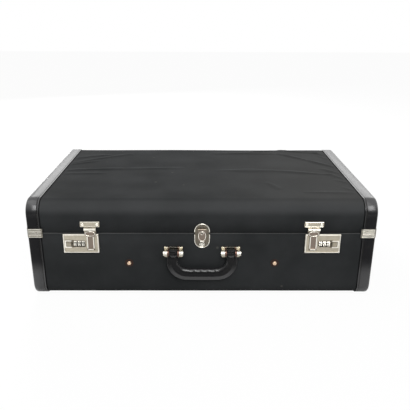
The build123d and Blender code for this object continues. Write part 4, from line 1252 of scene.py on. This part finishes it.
# %% [markdown]
# ## Light, floor and background
# The photograph was made in a white room: soft light from above, a white floor with only a faint shadow
# under the case, and a white background that shows as a pale sheen on the leather at the back. The world
# lights the case evenly. For camera rays it is plain white, and for glossy rays white at the back, which
# gives the background and the sheen without adding light. A low lamp behind rakes over the lid to show
# its folds. It shows in no gloss, or it would burn out the bindings.


# %% Light the room
def world_light(level, toward_camera):
    """A white world that lights at this level. Its front half is dimmer where gloss reflects it."""
    world = bpy.data.worlds.new("studio")
    world.use_nodes = True
    tree = world.node_tree
    tree.nodes.clear()
    paths = tree.nodes.new("ShaderNodeLightPath").outputs
    kinds = ("Camera", "Glossy", "Transmission")
    seen, glossy, passed = (Wire(tree, paths[f"Is {kind} Ray"]) for kind in kinds)
    direction = Wire(tree, tree.nodes.new("ShaderNodeTexCoord").outputs["Generated"])
    back = direction.part(1).rise(-0.7, 0.5)
    sheen = toward_camera + back * (1 - toward_camera)
    strength = seen.higher(passed).higher(glossy * sheen).higher(level)
    light = strength.node("ShaderNodeBackground", {}, {"Color": (1, 1, 1, 1), "Strength": strength})
    out = tree.nodes.new("ShaderNodeOutputWorld")
    tree.links.new(light.socket, out.inputs["Surface"])
    bpy.context.scene.world = world


def lamp(name, place, target, width, height, power, shines=True):
    """A soft rectangular lamp, turned towards a point. One that doesn't shine shows in no gloss."""
    data = bpy.data.lights.new(name, "AREA")
    data.shape = "RECTANGLE"
    data.size = width
    data.size_y = height
    data.energy = power
    made = new_object(name, data)
    aim = (Vector(target) - Vector(place)).to_track_quat("-Z", "Y")
    made.matrix_world = Matrix.Translation(place) @ aim.to_matrix().to_4x4()
    made.visible_glossy = shines
    print("lamp", name, power, "W")


def pale_floor():
    """A floor that catches a shadow and is otherwise as white as the background."""
    bm = bmesh.new()
    bmesh.ops.create_grid(bm, x_segments=1, y_segments=1, size=6.0)
    mesh = bpy.data.meshes.new("floor")
    bm.to_mesh(mesh)
    bm.free()
    floor = new_object("floor", mesh)
    material, point = new_finish("pale_floor")
    tree = material.node_tree
    surface(material, (0.88, 0.88, 0.88, 1), 0.9)
    rays = tree.nodes.new("ShaderNodeLightPath")
    glow = point.node("ShaderNodeEmission", {}, {"Color": (1, 1, 1, 1), "Strength": 1.0})
    plain = Wire(tree, tree.nodes["Principled BSDF"].outputs[0])
    share = Wire(tree, rays.outputs["Is Camera Ray"]) * 0.95
    mixed = share.node("ShaderNodeMixShader", {}, {0: share, 1: plain, 2: glow})
    tree.links.new(mixed.socket, tree.nodes["Material Output"].inputs["Surface"])
    mesh.materials.append(material)
    floor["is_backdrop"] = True


world_light(level=0.34, toward_camera=0.3)
lamp("above", (-0.5, -0.4, 1.9), (0, 0, 0.1), 1.6, 1.2, 7)
lamp("front", (0.3, -1.6, 1.5), (0, 0, 0.1), 1.2, 1.2, 30)
lamp("behind", (0.2, 1.7, 1.0), (0, 0, 0.15), 2.4, 0.5, 6)
lamp("low behind", (-0.7, 2.1, 0.85), (0, 0, 0.19), 0.9, 0.4, 75, shines=False)
pale_floor()
bpy.context.scene.view_settings.view_transform = "Standard"

# %% [markdown]
# ## Close the lesson
# The size of the dressed suitcase is printed, in millimetres.

# %% Print the dressed size
low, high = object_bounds()
print("dressed size in mm", [round((b - a) / mm, 1) for a, b in zip(low, high)])
